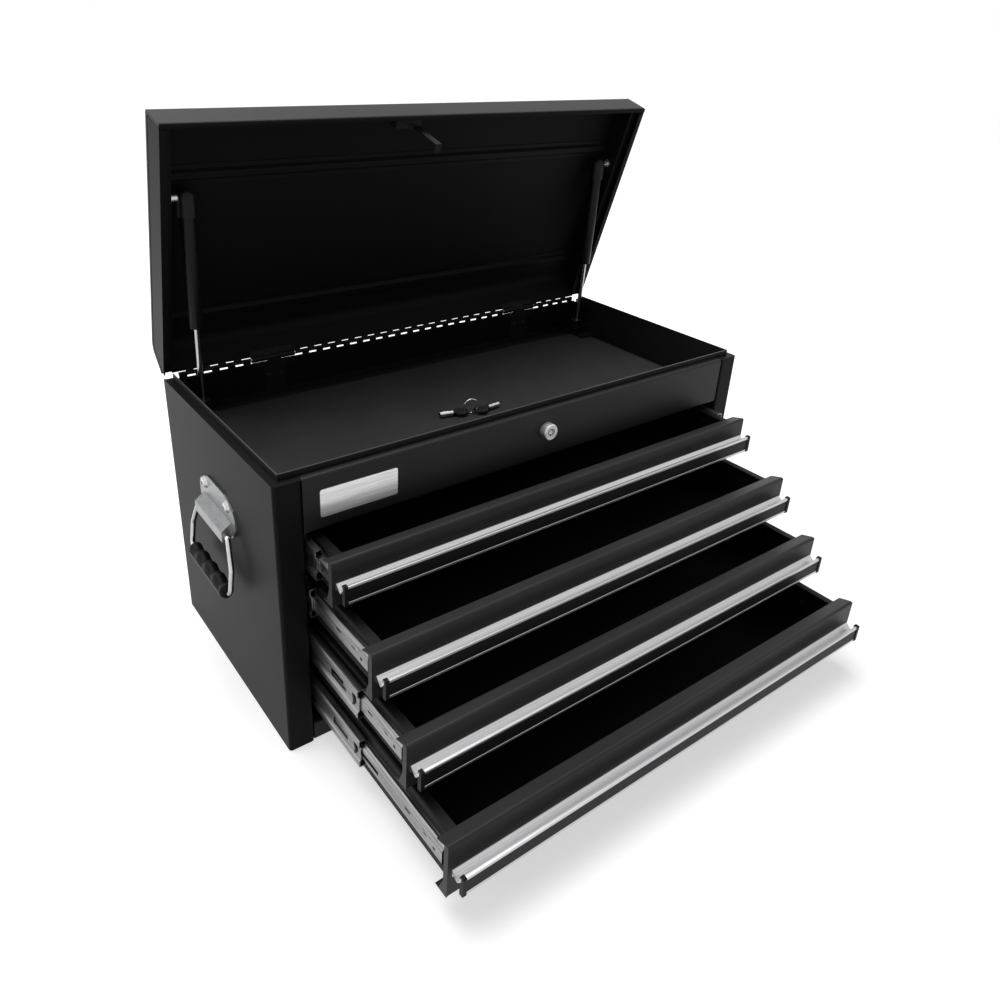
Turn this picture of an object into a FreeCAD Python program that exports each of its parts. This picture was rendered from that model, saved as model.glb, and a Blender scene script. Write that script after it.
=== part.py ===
import FreeCAD, Part
import math
import os

# Machinist tool chest: a sheet steel cabinet with four drawers on ball-bearing slides,
# a tray under a hinged lid, two gas struts, a tubular cam lock and two side bail handles.
# Millimetres. Origin: centre of the underside. +Z up, the front faces -Y.
# The chest stands open for use: lid up on its struts, drawers pulled out in a staircase.

# ---------------------------------------------------------------- driving dimensions
width = 660.0            # outside, over the side panels
depth = 300.0            # outside, front posts to back panel
ledge_height = 322.0     # underside to the ledge that the lid closes on
sheet = 1.2              # cabinet, drawer and lid sheet
bend = 2.5               # inside radius of the cabinet's outer bends
post_width = 29.0        # front post, outside to opening
post_return = 15.0       # the post's return into the opening
ledge_width = 9.0        # ledge outside the tray's lip
lip_rise = 7.0           # tray lip above the ledge
flat_gap = 0.3           # gap between neighbours that do not carry each other

rail_height = 24.0       # bottom rail, underside to its top
rail_return = 12.0
header_inset = 0.8       # header face behind the post faces
header_gap = 0.6         # header ends to the posts
tray_depth = 49.3        # ledge down to the tray floor's top
tray_back_upstand = 8.0
mat_thick = 2.3
mat_side_gap = 8.8       # mat inside the tray's side walls
mat_front_gap = 4.8      # its front wall
mat_back_gap = 16.6      # and its back upstand
mat_turn = -0.5          # the loose mat lies a little out of square

header_height = 60.0     # ledge down to the header's lower edge
drawer_gap = 4.1         # between faces, over the rail and under the header
drawer_shares = [50.0, 53.0, 52.0, 62.5]       # drawer faces, top to bottom
drawer_space = ledge_height - header_height - rail_height - drawer_gap * (len(drawer_shares) + 1)
drawer_heights = [share * drawer_space / sum(drawer_shares) for share in drawer_shares]
drawer_pulled = [49.6, 121.3, 179.0, 244.2]    # how far each stands open
middle_pulled = [34.0, 18.0, 111.0, 112.0]     # where each pair of middle members floats
drawer_side_gap = 2.0    # face ends to the posts
front_thick = 17.0       # depth of the pressed front's returns
front_fall = 5.0         # its top strip falls this much towards the inside
box_length = 251.0       # drawer box behind its front
hem_width = 10.0         # folded top of the box walls
box_drop = 0.4           # box wall tops under the front's inner edge
box_lift = 0.8           # box sides over the face's lower edge
box_bend = 1.2           # inside radius of the sides' bends
box_flange = 10.0        # flanges of the sides that carry the box's floor
end_return_low = 12.5    # end returns of the front, at the bottom
end_return_high = 6.0    # and beside the slide
end_return_rise = 17.0   # height where they get narrow

slide_length = 250.0
slide_depth = 12.7       # post to drawer box
slide_drops = [23.0, 24.0, 24.0, 30.0]   # face top to slide centre
slide_setback = 18.0     # fixed and middle members behind the face when shut
drawer_member_setback = 14.0     # drawer members behind the face
cabinet_member_height = 44.0
cabinet_member_reach = 9.6
middle_member_height = 34.4
middle_member_near = 2.2     # web of the middle member off the mounting face
middle_member_reach = 10.6
middle_recess = 2.0      # centre of its web set in towards the drawer
middle_recess_half = 7.2 # half the height of that centre
middle_recess_slope = 2.3
drawer_member_height = 22.4
drawer_member_reach = 6.8    # outer face of the drawer member off the box
drawer_member_flange = 4.0   # flanges at its top and bottom
drawer_member_web = 14.0     # height of that web
slide_lip_gap = 0.4      # lip tips to the member they hold
slide_sheet = 1.2
slot_length = 30.0
slot_height = 10.0
slot_setback = 26.0
notch_setback = 8.0      # notch for the release lever
notch_length = 4.0
notch_height = 12.0
rivet_head_radius = 3.6
rivet_head_thick = 1.3
rivet_radius = 2.0
rivet_hole_gap = 0.1
rivet_places = [41.0, 201.0]     # behind the drawer member's front end

pull_share = 0.54        # pull's top edge, as a share of the face height
pull_end_gap = 4.0       # pull ends inside the face ends
pull_cap = 4.0           # black end cap thickness
pull_cap_out = 12.0      # caps start this far off the face
pull_cap_proud = 0.7     # and stand this far round the strip
pull_wall = 1.6
pull_reach = 16.5        # outermost bead off the face
pull_trough_out = 8.5
pull_trough_fall = 6.0
pull_bead_rise = 4.5
pull_skirt = 16.0        # front strip's lower edge under the pull's top edge
pull_lip = 3.0           # bright lower lip of the front strip
pull_leg = 8.0

hinge_axis_out = 1.5     # hinge axis behind the back panel's outer face
hinge_axis_up = 1.5      # and above the ledge
lid_open = 72.9          # degrees, shut to open
lid_height = 37.9
lid_rim_gap = 0.3        # rim over the ledge when shut
lid_back_slope = 16.7    # how far the back wall leans forward at the top
lid_back_seat = 6.7      # the back wall starts this far over the rim
lid_back_bend = 15.0     # inside radius of the soft bend from top to back wall
lid_rail_inset = 15.0    # inner side wall behind the lid's outer side
lid_rail_rise = 7.9      # its shelf over the rim, clear of the tray's lip
lid_rail_flange = 8.0
lid_hem = 5.0            # hem turned in along the rim
lid_end_flange = 4.0     # shell flange seen round each end panel
lid_end_groove = 1.0     # dark seam between the flange and the end panel
stiffener_width = 12.0
stiffener_height = 4.0
stiffener_sheet = 0.8
stiffener_places = [70.0, 246.0]     # behind the lid's front face

piano_pitch = 19.8       # one body knuckle and one lid knuckle with their slots
piano_knuckle = 9.6      # knuckle length
piano_slot_side = 0.25   # slot ends past the knuckle it faces
piano_leaf = 1.0
piano_pin_radius = 1.2
piano_knuckle_radius = 2.5
piano_leaf_height = 20.0
piano_slot = 1.9         # clear slot past the knuckle it faces
piano_end_gap = 12.0     # hinge ends inside the chest's sides
pin_gap = 0.05           # running clearance round a hinge pin
butt_steps = [-19.5, 20.5]   # centres of the two butt hinges, in half pitches of the piano hinge
butt_knuckle = 18.9
butt_plate_width = 29.0  # body leaf below its knuckle
butt_knuckle_gap = 0.4
butt_leaf = 1.2
butt_pin_radius = 1.8
butt_pin_proud = 1.0
butt_leaf_gap = 0.4      # butt barrel ends to the nearest piano knuckle
butt_lid_leaf_height = 11.0
butt_shield = 7.0        # strip of the body leaf under the lid's knuckles

strut_x = 297.0          # strut centre plane either side of the middle
strut_foot_setback = 29.5            # lower ball centre ahead of the back panel's face
strut_foot_rise = 12.0   # and over the mat
strut_lid_reach = (-214.0, 20.2)     # upper ball from the hinge axis, lid shut
strut_tube_radius = 7.6
strut_rod_radius = 3.0
strut_tube_start = 103.0 # lower end of the tube from the lower ball, lid open
strut_bore_gap = 0.05
strut_wall = 1.4
socket_radius = 9.5
socket_length = 30.0
socket_past = 10.0       # socket past the ball centre
foot_socket_radius = 8.0
foot_socket_length = 21.0
stud_radius = 3.5
ball_radius = 5.0
bracket_thick = 2.5
bracket_length = 40.0     # base plate along the chest's depth
bracket_reach = 26.0     # base plate from the tray's side

lock_drop = 25.5         # lock's axis under the ledge
lock_radius = 9.6        # chromed collar
lock_proud = 9.0
lock_barrel_radius = 8.4
lock_barrel_back = 21.0  # barrel behind the header face
lock_core_radius = 5.0
lock_core_recess = 1.2
lock_nut_flats = 22.0
lock_nut_thick = 3.0
cam_length = 34.0
cam_width = 14.0
cam_shank = 3.2          # core's end that the cam is fixed on
cam_thick = 2.0
striker_left = -60.0
striker_right = -27.0
striker_thick = 1.6
striker_reach = 17.0     # tongue behind the lid's front face
striker_base_low = 10.0  # base plate over the rim
striker_base_high = 32.0
striker_ear = 14.0       # height of the base plate's side ears
tongue_low = 11.0        # tongue's lower end below the lock centre
tongue_from = 27.0       # tongue's sides off the lock's axis
tongue_to = 35.0

badge_setback = 18.0     # badge's left end inside the left post
badge_length = 86.0
badge_drop = 16.5        # its top edge under the ledge
badge_height = 30.0
badge_thick = 1.0
badge_radius = 2.5

handle_y = 0.0
handle_plate_width = 100.0
handle_plate_rise = 41.5     # plate's top over the bail's pivots
handle_plate_fall = 4.5      # and its lower edge under them
handle_plate_thick = 2.0
handle_bolt_spacing = 62.0
handle_bolt_rise = 30.5      # bolts over the pivots
handle_bolt_radius = 3.0
handle_bolt_head = 7.0
handle_bolt_head_thick = 3.0
handle_nut_flats = 10.4
handle_pivot_out = 8.5
handle_pivot_height = 212.5
handle_hood_length = 78.0
handle_hood_wall = 2.0
handle_hood_out = 13.5   # hood's outer face off the side panel
handle_hood_top_rise = 14.5  # where the hood leaves the plate, over the pivots
handle_hood_fold_rise = 6.5
handle_hood_fall = 5.5
handle_cheek_rise = 4.0  # the cheeks' lower edge rises this much towards the plate
bail_wire_radius = 2.8
bail_fit_gap = 0.1
bail_half_span = 57.0
bail_splay_drop = 31.0   # the legs splay out over this drop
bail_drop = 61.8
bail_bend = 8.0
bail_swing = 7.3         # degrees that friction holds the bail off the plumb line
grip_length = 97.0
grip_radius = 7.8
grip_waves = 4
grip_wave_depth = 0.7

key_bow_radius = 9.0
key_bow_thick = 2.6
key_hole_reach = 6.6     # ring hole from the middle of the bow
key_hole_radius = 2.6
key_left = (-31.0, -28.5, 168.0)     # x, y and heading of each key
key_right = (-5.9, -36.3, 5.0)
key_barrel_radius = 3.9
key_barrel_length = 16.0
key_bore_radius = 2.6
key_ring_radius = 9.0
key_ring_wire = 0.8

# ---------------------------------------------------------------- worked-out places
half_width = width / 2
front = -depth / 2
back = depth / 2
opening = half_width - post_width
header_low = rail_height + drawer_gap * (len(drawer_heights) + 1) + sum(drawer_heights)
tray_floor_top = ledge_height - tray_depth
tray_half = half_width - ledge_width
tray_front = front + ledge_width
inner_back = back - sheet
mat_top = tray_floor_top + mat_thick
mat_length = 2 * (tray_half - sheet - mat_side_gap)
mat_front = tray_front + sheet + mat_front_gap
mat_back = inner_back - sheet - mat_back_gap
strut_foot = (back - strut_foot_setback, mat_top + strut_foot_rise)
lock_height = ledge_height - lock_drop
badge_left = -opening + badge_setback
badge_right = badge_left + badge_length
badge_high = ledge_height - badge_drop
badge_low = badge_high - badge_height
handle_plate_top = handle_pivot_height + handle_plate_rise
handle_plate_low = handle_pivot_height - handle_plate_fall
handle_bolt_height = handle_pivot_height + handle_bolt_rise
handle_hood_top = handle_pivot_height + handle_hood_top_rise
handle_hood_fold = handle_pivot_height + handle_hood_fold_rise
handle_hood_low = handle_pivot_height - handle_hood_fall
lip_top = ledge_height + lip_rise
hinge_y = back + hinge_axis_out
hinge_z = ledge_height + hinge_axis_up
butt_radius = hinge_y - inner_back + butt_leaf
butt_places = [step * piano_pitch / 2 for step in butt_steps]
back_wall_top = hinge_z - piano_knuckle_radius - piano_slot - 2.0
rim_z = ledge_height + lid_rim_gap
lid_top = rim_z + lid_height
rail_x = half_width - lid_rail_inset
lean = math.atan2(lid_back_slope, lid_height - lid_back_seat)
wall_off = ((back - hinge_y) * math.cos(lean)
            + (rim_z + lid_back_seat - hinge_z) * math.sin(lean))
box_half = opening - slide_depth
face_half = opening - drawer_side_gap

os.makedirs("parts", exist_ok=True)


def vector(x, y, z):
    return FreeCAD.Vector(x, y, z)


def plan(height):
    """Place section points in a horizontal plane."""
    return lambda u, v: vector(u, v, height)


def side(x):
    """Place section points, y then z, in a plane across the chest's width."""
    return lambda u, v: vector(x, u, v)


def elevation(y):
    """Place section points, x then z, in a plane parallel to the front."""
    return lambda u, v: vector(u, y, v)


def box(x0, x1, y0, y1, z0, z1):
    low = vector(min(x0, x1), min(y0, y1), min(z0, z1))
    return Part.makeBox(abs(x1 - x0), abs(y1 - y0), abs(z1 - z0), low)


def rod(radius, start, end):
    axis = end.sub(start)
    return Part.makeCylinder(radius, axis.Length, start, axis)


def tube(outer, inner, start, end):
    return rod(outer, start, end).cut(rod(inner, start, end))


def join(shapes):
    shapes = list(shapes)
    if len(shapes) == 1:
        return shapes[0]
    return shapes[0].multiFuse(shapes[1:]).removeSplitter()


def remove(shape, tools):
    return shape.cut(Part.makeCompound(list(tools)))


def mirrored(shape):
    """The same piece on the other side of the chest."""
    return shape.mirror(vector(0, 0, 0), vector(1, 0, 0))


def turned(shape, degrees, y=hinge_y, z=hinge_z):
    """Turn a piece about an axis along X, front edge upwards."""
    copy = shape.copy()
    copy.rotate(vector(0, y, z), vector(-1, 0, 0), degrees)
    return copy


def moved(shape, x=0.0, y=0.0, z=0.0):
    copy = shape.copy()
    copy.translate(vector(x, y, z))
    return copy


def arc_or_none(start, middle, end):
    if (start - end).Length < 1e-6:
        return None
    return Part.Arc(start, middle, end).toShape()


def rounded_face(corners, place):
    """A flat face from corners (u, v, radius), each rounded by an arc."""
    count = len(corners)
    edges = []
    runs = []
    for index in range(count):
        u, v, radius = corners[index]
        before = corners[index - 1]
        after = corners[(index + 1) % count]
        d1 = FreeCAD.Vector(u - before[0], v - before[1], 0).normalize()
        d2 = FreeCAD.Vector(after[0] - u, after[1] - v, 0).normalize()
        turn = math.atan2(d1.x * d2.y - d1.y * d2.x, d1.dot(d2))
        reach = radius * math.tan(abs(turn) / 2)
        corner = FreeCAD.Vector(u, v, 0)
        start = corner - d1 * reach
        end = corner + d2 * reach
        sense = 1.0 if turn > 0 else -1.0
        centre = start + FreeCAD.Vector(-d1.y, d1.x, 0) * (sense * radius)
        toward = corner - centre
        middle = centre + toward * (radius / toward.Length) if radius > 0 else corner
        runs.append((start, middle, end))
    for index in range(count):
        start, middle, end = [place(p.x, p.y) for p in runs[index]]
        arc = arc_or_none(start, middle, end)
        if arc:
            edges.append(arc)
        following = place(runs[(index + 1) % count][0].x, runs[(index + 1) % count][0].y)
        if (following - end).Length > 1e-6:
            edges.append(Part.LineSegment(end, following).toShape())
    return Part.Face(Part.Wire(edges))


def hexagon(u, v, flats, place):
    """A nut's face about the point u, v."""
    corner = flats / 2 / math.cos(math.radians(30))
    angles = [math.radians(60 * i) for i in range(6)]
    return rounded_face([(u + corner * math.cos(a), v + corner * math.sin(a), 0.5)
                         for a in angles], place)


def bent_sheet(points, thick, radius, hand, place, along):
    """A bent strip of sheet: one face follows the points, the sheet lies to the left of
    the path for hand +1 and to the right for -1. One inside radius serves every bend, or
    a list gives one for each."""
    radii = radius if isinstance(radius, list) else [radius] * (len(points) - 2)
    path = [FreeCAD.Vector(u, v, 0) for u, v in points]
    heads = [(path[i + 1] - path[i]).normalize() for i in range(len(path) - 1)]

    def left(d):
        return FreeCAD.Vector(-d.y, d.x, 0)

    def trace(offset):
        stations = [(path[0] + left(heads[0]) * (hand * offset),) * 3]
        for i in range(1, len(path) - 1):
            d1, d2 = heads[i - 1], heads[i]
            turn = math.atan2(d1.x * d2.y - d1.y * d2.x, d1.dot(d2))
            sense = 1.0 if turn > 0 else -1.0
            within = sense * hand > 0
            own = radii[i - 1] + (thick if within else 0.0)
            now = own - offset if within else own + offset
            centre = path[i] - d1 * (own * math.tan(abs(turn) / 2)) + left(d1) * (sense * own)
            mean = (left(d1) + left(d2)).normalize()
            stations.append((centre - left(d1) * (sense * now),
                             centre - mean * (sense * now),
                             centre - left(d2) * (sense * now)))
        stations.append((path[-1] + left(heads[-1]) * (hand * offset),) * 3)
        return stations

    def run(stations):
        edges = []
        for i, (start, middle, end) in enumerate(stations):
            arc = arc_or_none(*[place(p.x, p.y) for p in (start, middle, end)])
            if arc:
                edges.append(arc)
            if i + 1 < len(stations):
                following = stations[i + 1][0]
                edges.append(Part.LineSegment(place(end.x, end.y),
                                              place(following.x, following.y)).toShape())
        return edges

    near, far = trace(0.0), trace(thick)
    ends = []
    for station in (0, -1):
        a, b = near[station][0], far[station][0]
        ends.append(Part.LineSegment(place(a.x, a.y), place(b.x, b.y)).toShape())
    edges = Part.__sortEdges__(run(near) + run(far) + ends)
    return Part.Face(Part.Wire(edges)).extrude(along)


def save(name, *shapes):
    """Write one node; a node of several pieces is a group of separate solids."""
    solids = []
    for shape in shapes:
        solids.extend(shape.Solids)
    result = solids[0] if len(solids) == 1 else Part.makeCompound(solids)
    for solid in solids:
        assert solid.isValid() and solid.Volume > 0, name
    result.exportStep("parts/" + name + ".step")
    print(name, len(solids), "solid(s)", round(sum(s.Volume for s in solids) / 1000.0, 2), "cm3")


# ---------------------------------------------------------------- cabinet shell
def side_panel():
    """Left side: outer wall, rounded front post with its return, and the ledge."""
    outline = [(-opening, front + post_return), (-opening, front), (-half_width, front),
               (-half_width, back)]
    wall = bent_sheet(outline, sheet, bend, -1, plan(0), vector(0, 0, ledge_height))
    corner = bend + sheet
    footprint = rounded_face([(-opening, front, 0.1), (-opening, tray_front, 0.1),
                              (-tray_half, tray_front, 0.1), (-tray_half, inner_back, 0.1),
                              (-half_width, inner_back, 0.1), (-half_width, front, corner)],
                             plan(ledge_height - sheet))
    ledge = footprint.extrude(vector(0, 0, sheet))
    panel = join([wall, ledge])
    holes = [rod(handle_bolt_radius + rivet_hole_gap,
                 vector(-half_width - sheet, y, handle_bolt_height),
                 vector(-half_width + 2 * sheet, y, handle_bolt_height))
             for y in bolt_places()]
    # the post's return stops under the tray
    over = box(-opening - 2 * sheet, -opening + 1, tray_front, front + post_return + 1,
               tray_floor_top - sheet - flat_gap, ledge_height + 1)
    return remove(panel, holes + [over])


def bolt_places():
    return [handle_y - handle_bolt_spacing / 2, handle_y + handle_bolt_spacing / 2]


def back_panel():
    """Back, bent forward inside both side panels, its top under the hinge knuckles."""
    reach = half_width - sheet
    outline = [(-reach, back - post_return), (-reach, back), (reach, back),
               (reach, back - post_return)]
    return bent_sheet(outline, sheet, bend, -1, plan(0), vector(0, 0, back_wall_top))


def bottom_panel():
    """Floor of the cabinet with its front turned up as the bottom rail."""
    face = front + header_inset
    rail_half = opening - header_gap
    outline = [(face + rail_return, rail_height), (face, rail_height), (face, 0),
               (front + post_return + flat_gap + 1.0, 0)]
    rail = bent_sheet(outline, sheet, 1.5, 1, side(-rail_half), vector(2 * rail_half, 0, 0))
    reach = half_width - 2 * sheet - flat_gap
    ahead = front + post_return + flat_gap
    relief = bend + flat_gap
    floor = rounded_face([(-reach, ahead, 0.0), (reach, ahead, 0.0), (reach, inner_back, relief),
                          (-reach, inner_back, relief)], plan(0)).extrude(vector(0, 0, sheet))
    return join([rail, floor])


def header_panel():
    """Fixed panel over the drawers: top turned back as the front ledge, bottom returned."""
    face = front + header_inset
    half = opening - header_gap
    outline = [(face + rail_return, header_low), (face, header_low), (face, ledge_height),
               (tray_front, ledge_height)]
    panel = bent_sheet(outline, sheet, 1.5, -1, side(-half), vector(2 * half, 0, 0))
    return panel.cut(rod(lock_barrel_radius + rivet_hole_gap,
                         vector(0, face - sheet, lock_height),
                         vector(0, face + 2 * sheet, lock_height)))


def inner_side():
    """Left slide carrier, flanged outwards at both ends."""
    start = front + post_return
    flange = post_return
    outline = [(-opening - flange, start), (-opening, start), (-opening, inner_back),
               (-opening - flange, inner_back)]
    low = sheet
    return bent_sheet(outline, sheet, 1.5, 1, plan(low),
                      vector(0, 0, tray_floor_top - sheet - low))


def tray():
    """Top tray: floor, three walls that end in the lip, and a low upstand at the back."""
    floor = box(-tray_half, tray_half, tray_front, inner_back, tray_floor_top - sheet,
                tray_floor_top)
    left = box(-tray_half, -tray_half + sheet, tray_front + sheet, inner_back,
               tray_floor_top, lip_top)
    ahead = box(-tray_half, tray_half, tray_front, tray_front + sheet, tray_floor_top, lip_top)
    behind = box(-tray_half + sheet, tray_half - sheet, inner_back - sheet, inner_back,
                 tray_floor_top, tray_floor_top + tray_back_upstand)
    # the lip's back ends are cut away under the turning lid
    reach = butt_radius + 4 * flat_gap
    left = left.cut(box(-tray_half - 1, -tray_half + 2 * sheet, inner_back - reach, back,
                        ledge_height, lip_top + 1))
    notch_half = butt_plate_width / 2 + flat_gap
    notches = [box(x - notch_half, x + notch_half, inner_back - 2 * sheet, inner_back + 1,
                   tray_floor_top, tray_floor_top + tray_back_upstand + 1)
               for x in butt_places]
    lock_hole = rod(lock_barrel_radius + 3.0, vector(0, tray_front - 1, lock_height),
                    vector(0, tray_front + 2 * sheet, lock_height))
    return [floor, left, mirrored(left), ahead.cut(lock_hole), remove(behind, notches)]


def tray_mat():
    """Loose rubber mat, a little out of square."""
    half_x, half_y = mat_length / 2, (mat_back - mat_front) / 2
    corners = [(-half_x, -half_y, 6), (half_x, -half_y, 6), (half_x, half_y, 6),
               (-half_x, half_y, 6)]
    mat = rounded_face(corners, plan(tray_floor_top)).extrude(vector(0, 0, mat_thick))
    mat.rotate(vector(0, 0, 0), vector(0, 0, 1), mat_turn)
    return moved(mat, y=(mat_front + mat_back) / 2)


# ---------------------------------------------------------------- hinges
def piano_places(offset):
    """Knuckle centres of one leaf, without those that the butt hinges replace."""
    near = 1.5 * butt_knuckle + butt_leaf_gap + butt_pin_proud + piano_knuckle / 2
    reach = half_width - piano_end_gap - piano_knuckle / 2
    count = int(reach / piano_pitch) + 1
    places = [piano_pitch * i + offset for i in range(-count, count + 1)]
    return [x for x in places
            if abs(x) <= reach and all(abs(x - middle) > near for middle in butt_places)]


def piano_leaf_shape(knuckles, facing, off, hand):
    """One leaf: a plate with its face off behind the axis, going down from it for hand -1 and
    up for hand +1, knuckles round the pin, and slots where the other leaf's knuckles turn."""
    end = half_width - piano_end_gap
    slot_half = piano_knuckle / 2 + piano_slot_side
    tall = piano_knuckle_radius + piano_slot
    face = hinge_y + off

    def across(x0, x1, near, far):
        return box(x0, x1, face - 1.0, face + piano_leaf + 1.0,
                   hinge_z + hand * near, hinge_z + hand * far)

    plate = box(-end, end, face, face + piano_leaf, hinge_z + hand * 0.2,
                hinge_z + hand * piano_leaf_height)
    slots = [across(x - slot_half, x + slot_half, -1.0, tall) for x in facing]
    near_butt = 1.5 * butt_knuckle + butt_leaf_gap + butt_pin_proud
    slots += [across(x - near_butt, x + near_butt, -1.0, butt_radius + flat_gap)
              for x in butt_places]
    # beside each knuckle the plate stops level with the slots
    slots += [across(x0, x1, -1.0, tall) for x0, x1 in spare_runs(knuckles, end)]
    curls = [rod(piano_knuckle_radius, vector(x - piano_knuckle / 2, hinge_y, hinge_z),
                 vector(x + piano_knuckle / 2, hinge_y, hinge_z)) for x in knuckles]
    bore = rod(piano_pin_radius + pin_gap, vector(-half_width, hinge_y, hinge_z),
               vector(half_width, hinge_y, hinge_z))
    return remove(join([remove(plate, slots)] + curls), [bore])


def spare_runs(knuckles, end):
    """Stretches of a leaf's edge that carry no knuckle of its own."""
    half = piano_knuckle / 2
    edges = [-end - 1.0]
    for x in knuckles:
        edges += [x - half, x + half]
    edges.append(end + 1.0)
    return [(edges[i], edges[i + 1]) for i in range(0, len(edges), 2)]


def piano_hinge():
    """Body leaf, lid leaf as it lies with the lid shut, and the pins between the butts."""
    lid_places = piano_places(0.0)
    body_places = piano_places(piano_pitch / 2)
    on_body = piano_leaf_shape(body_places, lid_places, back - hinge_y, -1)
    on_lid = turned(piano_leaf_shape(lid_places, body_places, wall_off, 1), -math.degrees(lean))
    places = sorted(lid_places + body_places)
    runs = [[places[0]]]
    for x in places[1:]:
        if x - runs[-1][-1] > piano_pitch:
            runs.append([])
        runs[-1].append(x)
    reach = piano_knuckle / 2 + butt_leaf_gap / 2
    pins = [rod(piano_pin_radius, vector(run[0] - reach, hinge_y, hinge_z),
                vector(run[-1] + reach, hinge_y, hinge_z)) for run in runs]
    return on_body, on_lid, pins


def barrel(x0, x1):
    return rod(butt_radius, vector(x0, hinge_y, hinge_z), vector(x1, hinge_y, hinge_z))


def butt_bore():
    return rod(butt_pin_radius + pin_gap, vector(-half_width, hinge_y, hinge_z),
               vector(half_width, hinge_y, hinge_z))


def butt_body_leaf(x):
    """Middle knuckle, the plate down the inside of the back to the tray floor, and a strip
    under the lid's two knuckles that closes the view through the hinge."""
    half = butt_knuckle / 2 - butt_knuckle_gap / 2
    outer = 1.5 * butt_knuckle
    face = inner_back - butt_leaf
    wide = butt_plate_width / 2
    plate = box(x - wide, x + wide, face, inner_back, tray_floor_top,
                hinge_z - butt_radius - flat_gap)
    neck = box(x - half, x + half, face, inner_back, tray_floor_top, hinge_z)
    clear = butt_radius + flat_gap
    high = hinge_z - math.sqrt(clear ** 2 - (hinge_y - inner_back) ** 2)
    strip = box(x - outer, x + outer, face, inner_back, high - butt_shield, high)
    return remove(join([plate, neck, strip, barrel(x - half, x + half)]), [butt_bore()])


def butt_lid_leaf(x):
    """Two outer knuckles and the plate up the lid's back wall, as it lies shut."""
    inner = butt_knuckle / 2 + butt_knuckle_gap / 2
    outer = 1.5 * butt_knuckle
    seat = hinge_y + wall_off - sheet
    high = hinge_z + butt_radius + flat_gap
    pieces = []
    for sign in (-1, 1):
        ends = sorted((x + sign * inner, x + sign * outer))
        pieces.append(barrel(*ends))
        pieces.append(box(ends[0], ends[1], seat - butt_leaf, seat, hinge_z, high))
    pieces.append(box(x - outer, x + outer, seat - butt_leaf, seat, high,
                      hinge_z + butt_lid_leaf_height))
    return turned(remove(join(pieces), [butt_bore()]), -math.degrees(lean))


def butt_pin(x):
    """Pin with a domed head showing past each outer knuckle."""
    end = 1.5 * butt_knuckle
    shank = rod(butt_pin_radius, vector(x - end - butt_pin_proud, hinge_y, hinge_z),
                vector(x + end + butt_pin_proud, hinge_y, hinge_z))
    heads = [rod(butt_pin_radius + 1.2, vector(x + s * (end + 0.2), hinge_y, hinge_z),
                 vector(x + s * (end + butt_pin_proud), hinge_y, hinge_z)) for s in (-1, 1)]
    return join([shank] + heads)


# ---------------------------------------------------------------- lid
def lid_outline(inset):
    """Corners of the lid's end profile, moved in by inset: front rim, front top, back top,
    foot of the leaning back wall, back rim."""
    rise = lid_height - lid_back_seat
    lean_length = math.hypot(lid_back_slope, rise)
    at_top = inset * (lean_length - lid_back_slope) / rise
    at_foot = inset * (lean_length - rise) / lid_back_slope
    return [(front + inset, rim_z), (front + inset, lid_top - inset),
            (back - lid_back_slope - at_top, lid_top - inset),
            (back - inset, rim_z + lid_back_seat - at_foot), (back - inset, rim_z)]


def lid_prism(inset, x, thick, radius):
    """The lid's end profile as a solid plate."""
    points = lid_outline(inset)
    radii = [0.0, radius, lid_back_bend + sheet - inset, 0.6, 0.0]
    corners = [(u, v, r) for (u, v), r in zip(points, radii)]
    return rounded_face(corners, side(x)).extrude(vector(thick, 0, 0))


def lid_shell():
    """Wrap of front wall, top and leaning back wall with a flange round each end, lid shut."""
    corners = lid_outline(0.0)
    outline = [(front + lid_hem, rim_z)] + corners[:-1]
    skin = bent_sheet(outline, sheet, [bend, bend, lid_back_bend], -1, side(-half_width),
                      vector(width, 0, 0))
    flange = lid_prism(sheet / 2, -half_width, sheet, bend + sheet / 2)
    window = lid_prism(lid_end_flange, -half_width - 1, sheet + 2, bend)
    window = join([window, moved(window, z=-4.0)])
    under = box(-half_width - 1, 0, back - 2 * lid_end_flange, back + 1, rim_z - 1,
                rim_z + lid_back_seat)
    flange = remove(flange, [window, under])
    return join([skin, flange, mirrored(flange)])


def lid_end():
    """Left end panel: a plate inside the shell's flange, its field raised flush with the
    flange, and a hem along the rim."""
    plate = lid_prism(sheet + flat_gap, -half_width + sheet, sheet, bend)
    field = lid_prism(lid_end_flange + lid_end_groove, -half_width + flat_gap, sheet, bend)
    inner = -half_width + 2 * sheet
    hem = box(inner - sheet, inner + lid_hem, front + lid_hem + 1.0, back - 25.0, rim_z,
              rim_z + sheet)
    # relief beside the shell's own hem
    relief = box(-half_width - 1, inner + 1, front, front + lid_hem + flat_gap, rim_z - 1,
                 rim_z + sheet + bend)
    return join([plate, field, hem]).cut(relief)


def lid_rail():
    """Left inner side wall of the lid: flange on the end panel, shelf, and wall to the top."""
    outer = -half_width + 2 * sheet
    shelf = rim_z + lid_rail_rise
    under_top = lid_top - sheet
    section = [(outer, shelf + lid_rail_flange), (outer, shelf), (-rail_x, shelf),
               (-rail_x, under_top), (-rail_x - lid_rail_flange, under_top)]
    rail = bent_sheet(section, sheet, 1.2, 1, elevation(front), vector(0, depth, 0))
    inside = lid_prism(sheet, -half_width, 2 * lid_rail_inset + sheet, bend)
    return rail.common(inside)


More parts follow.
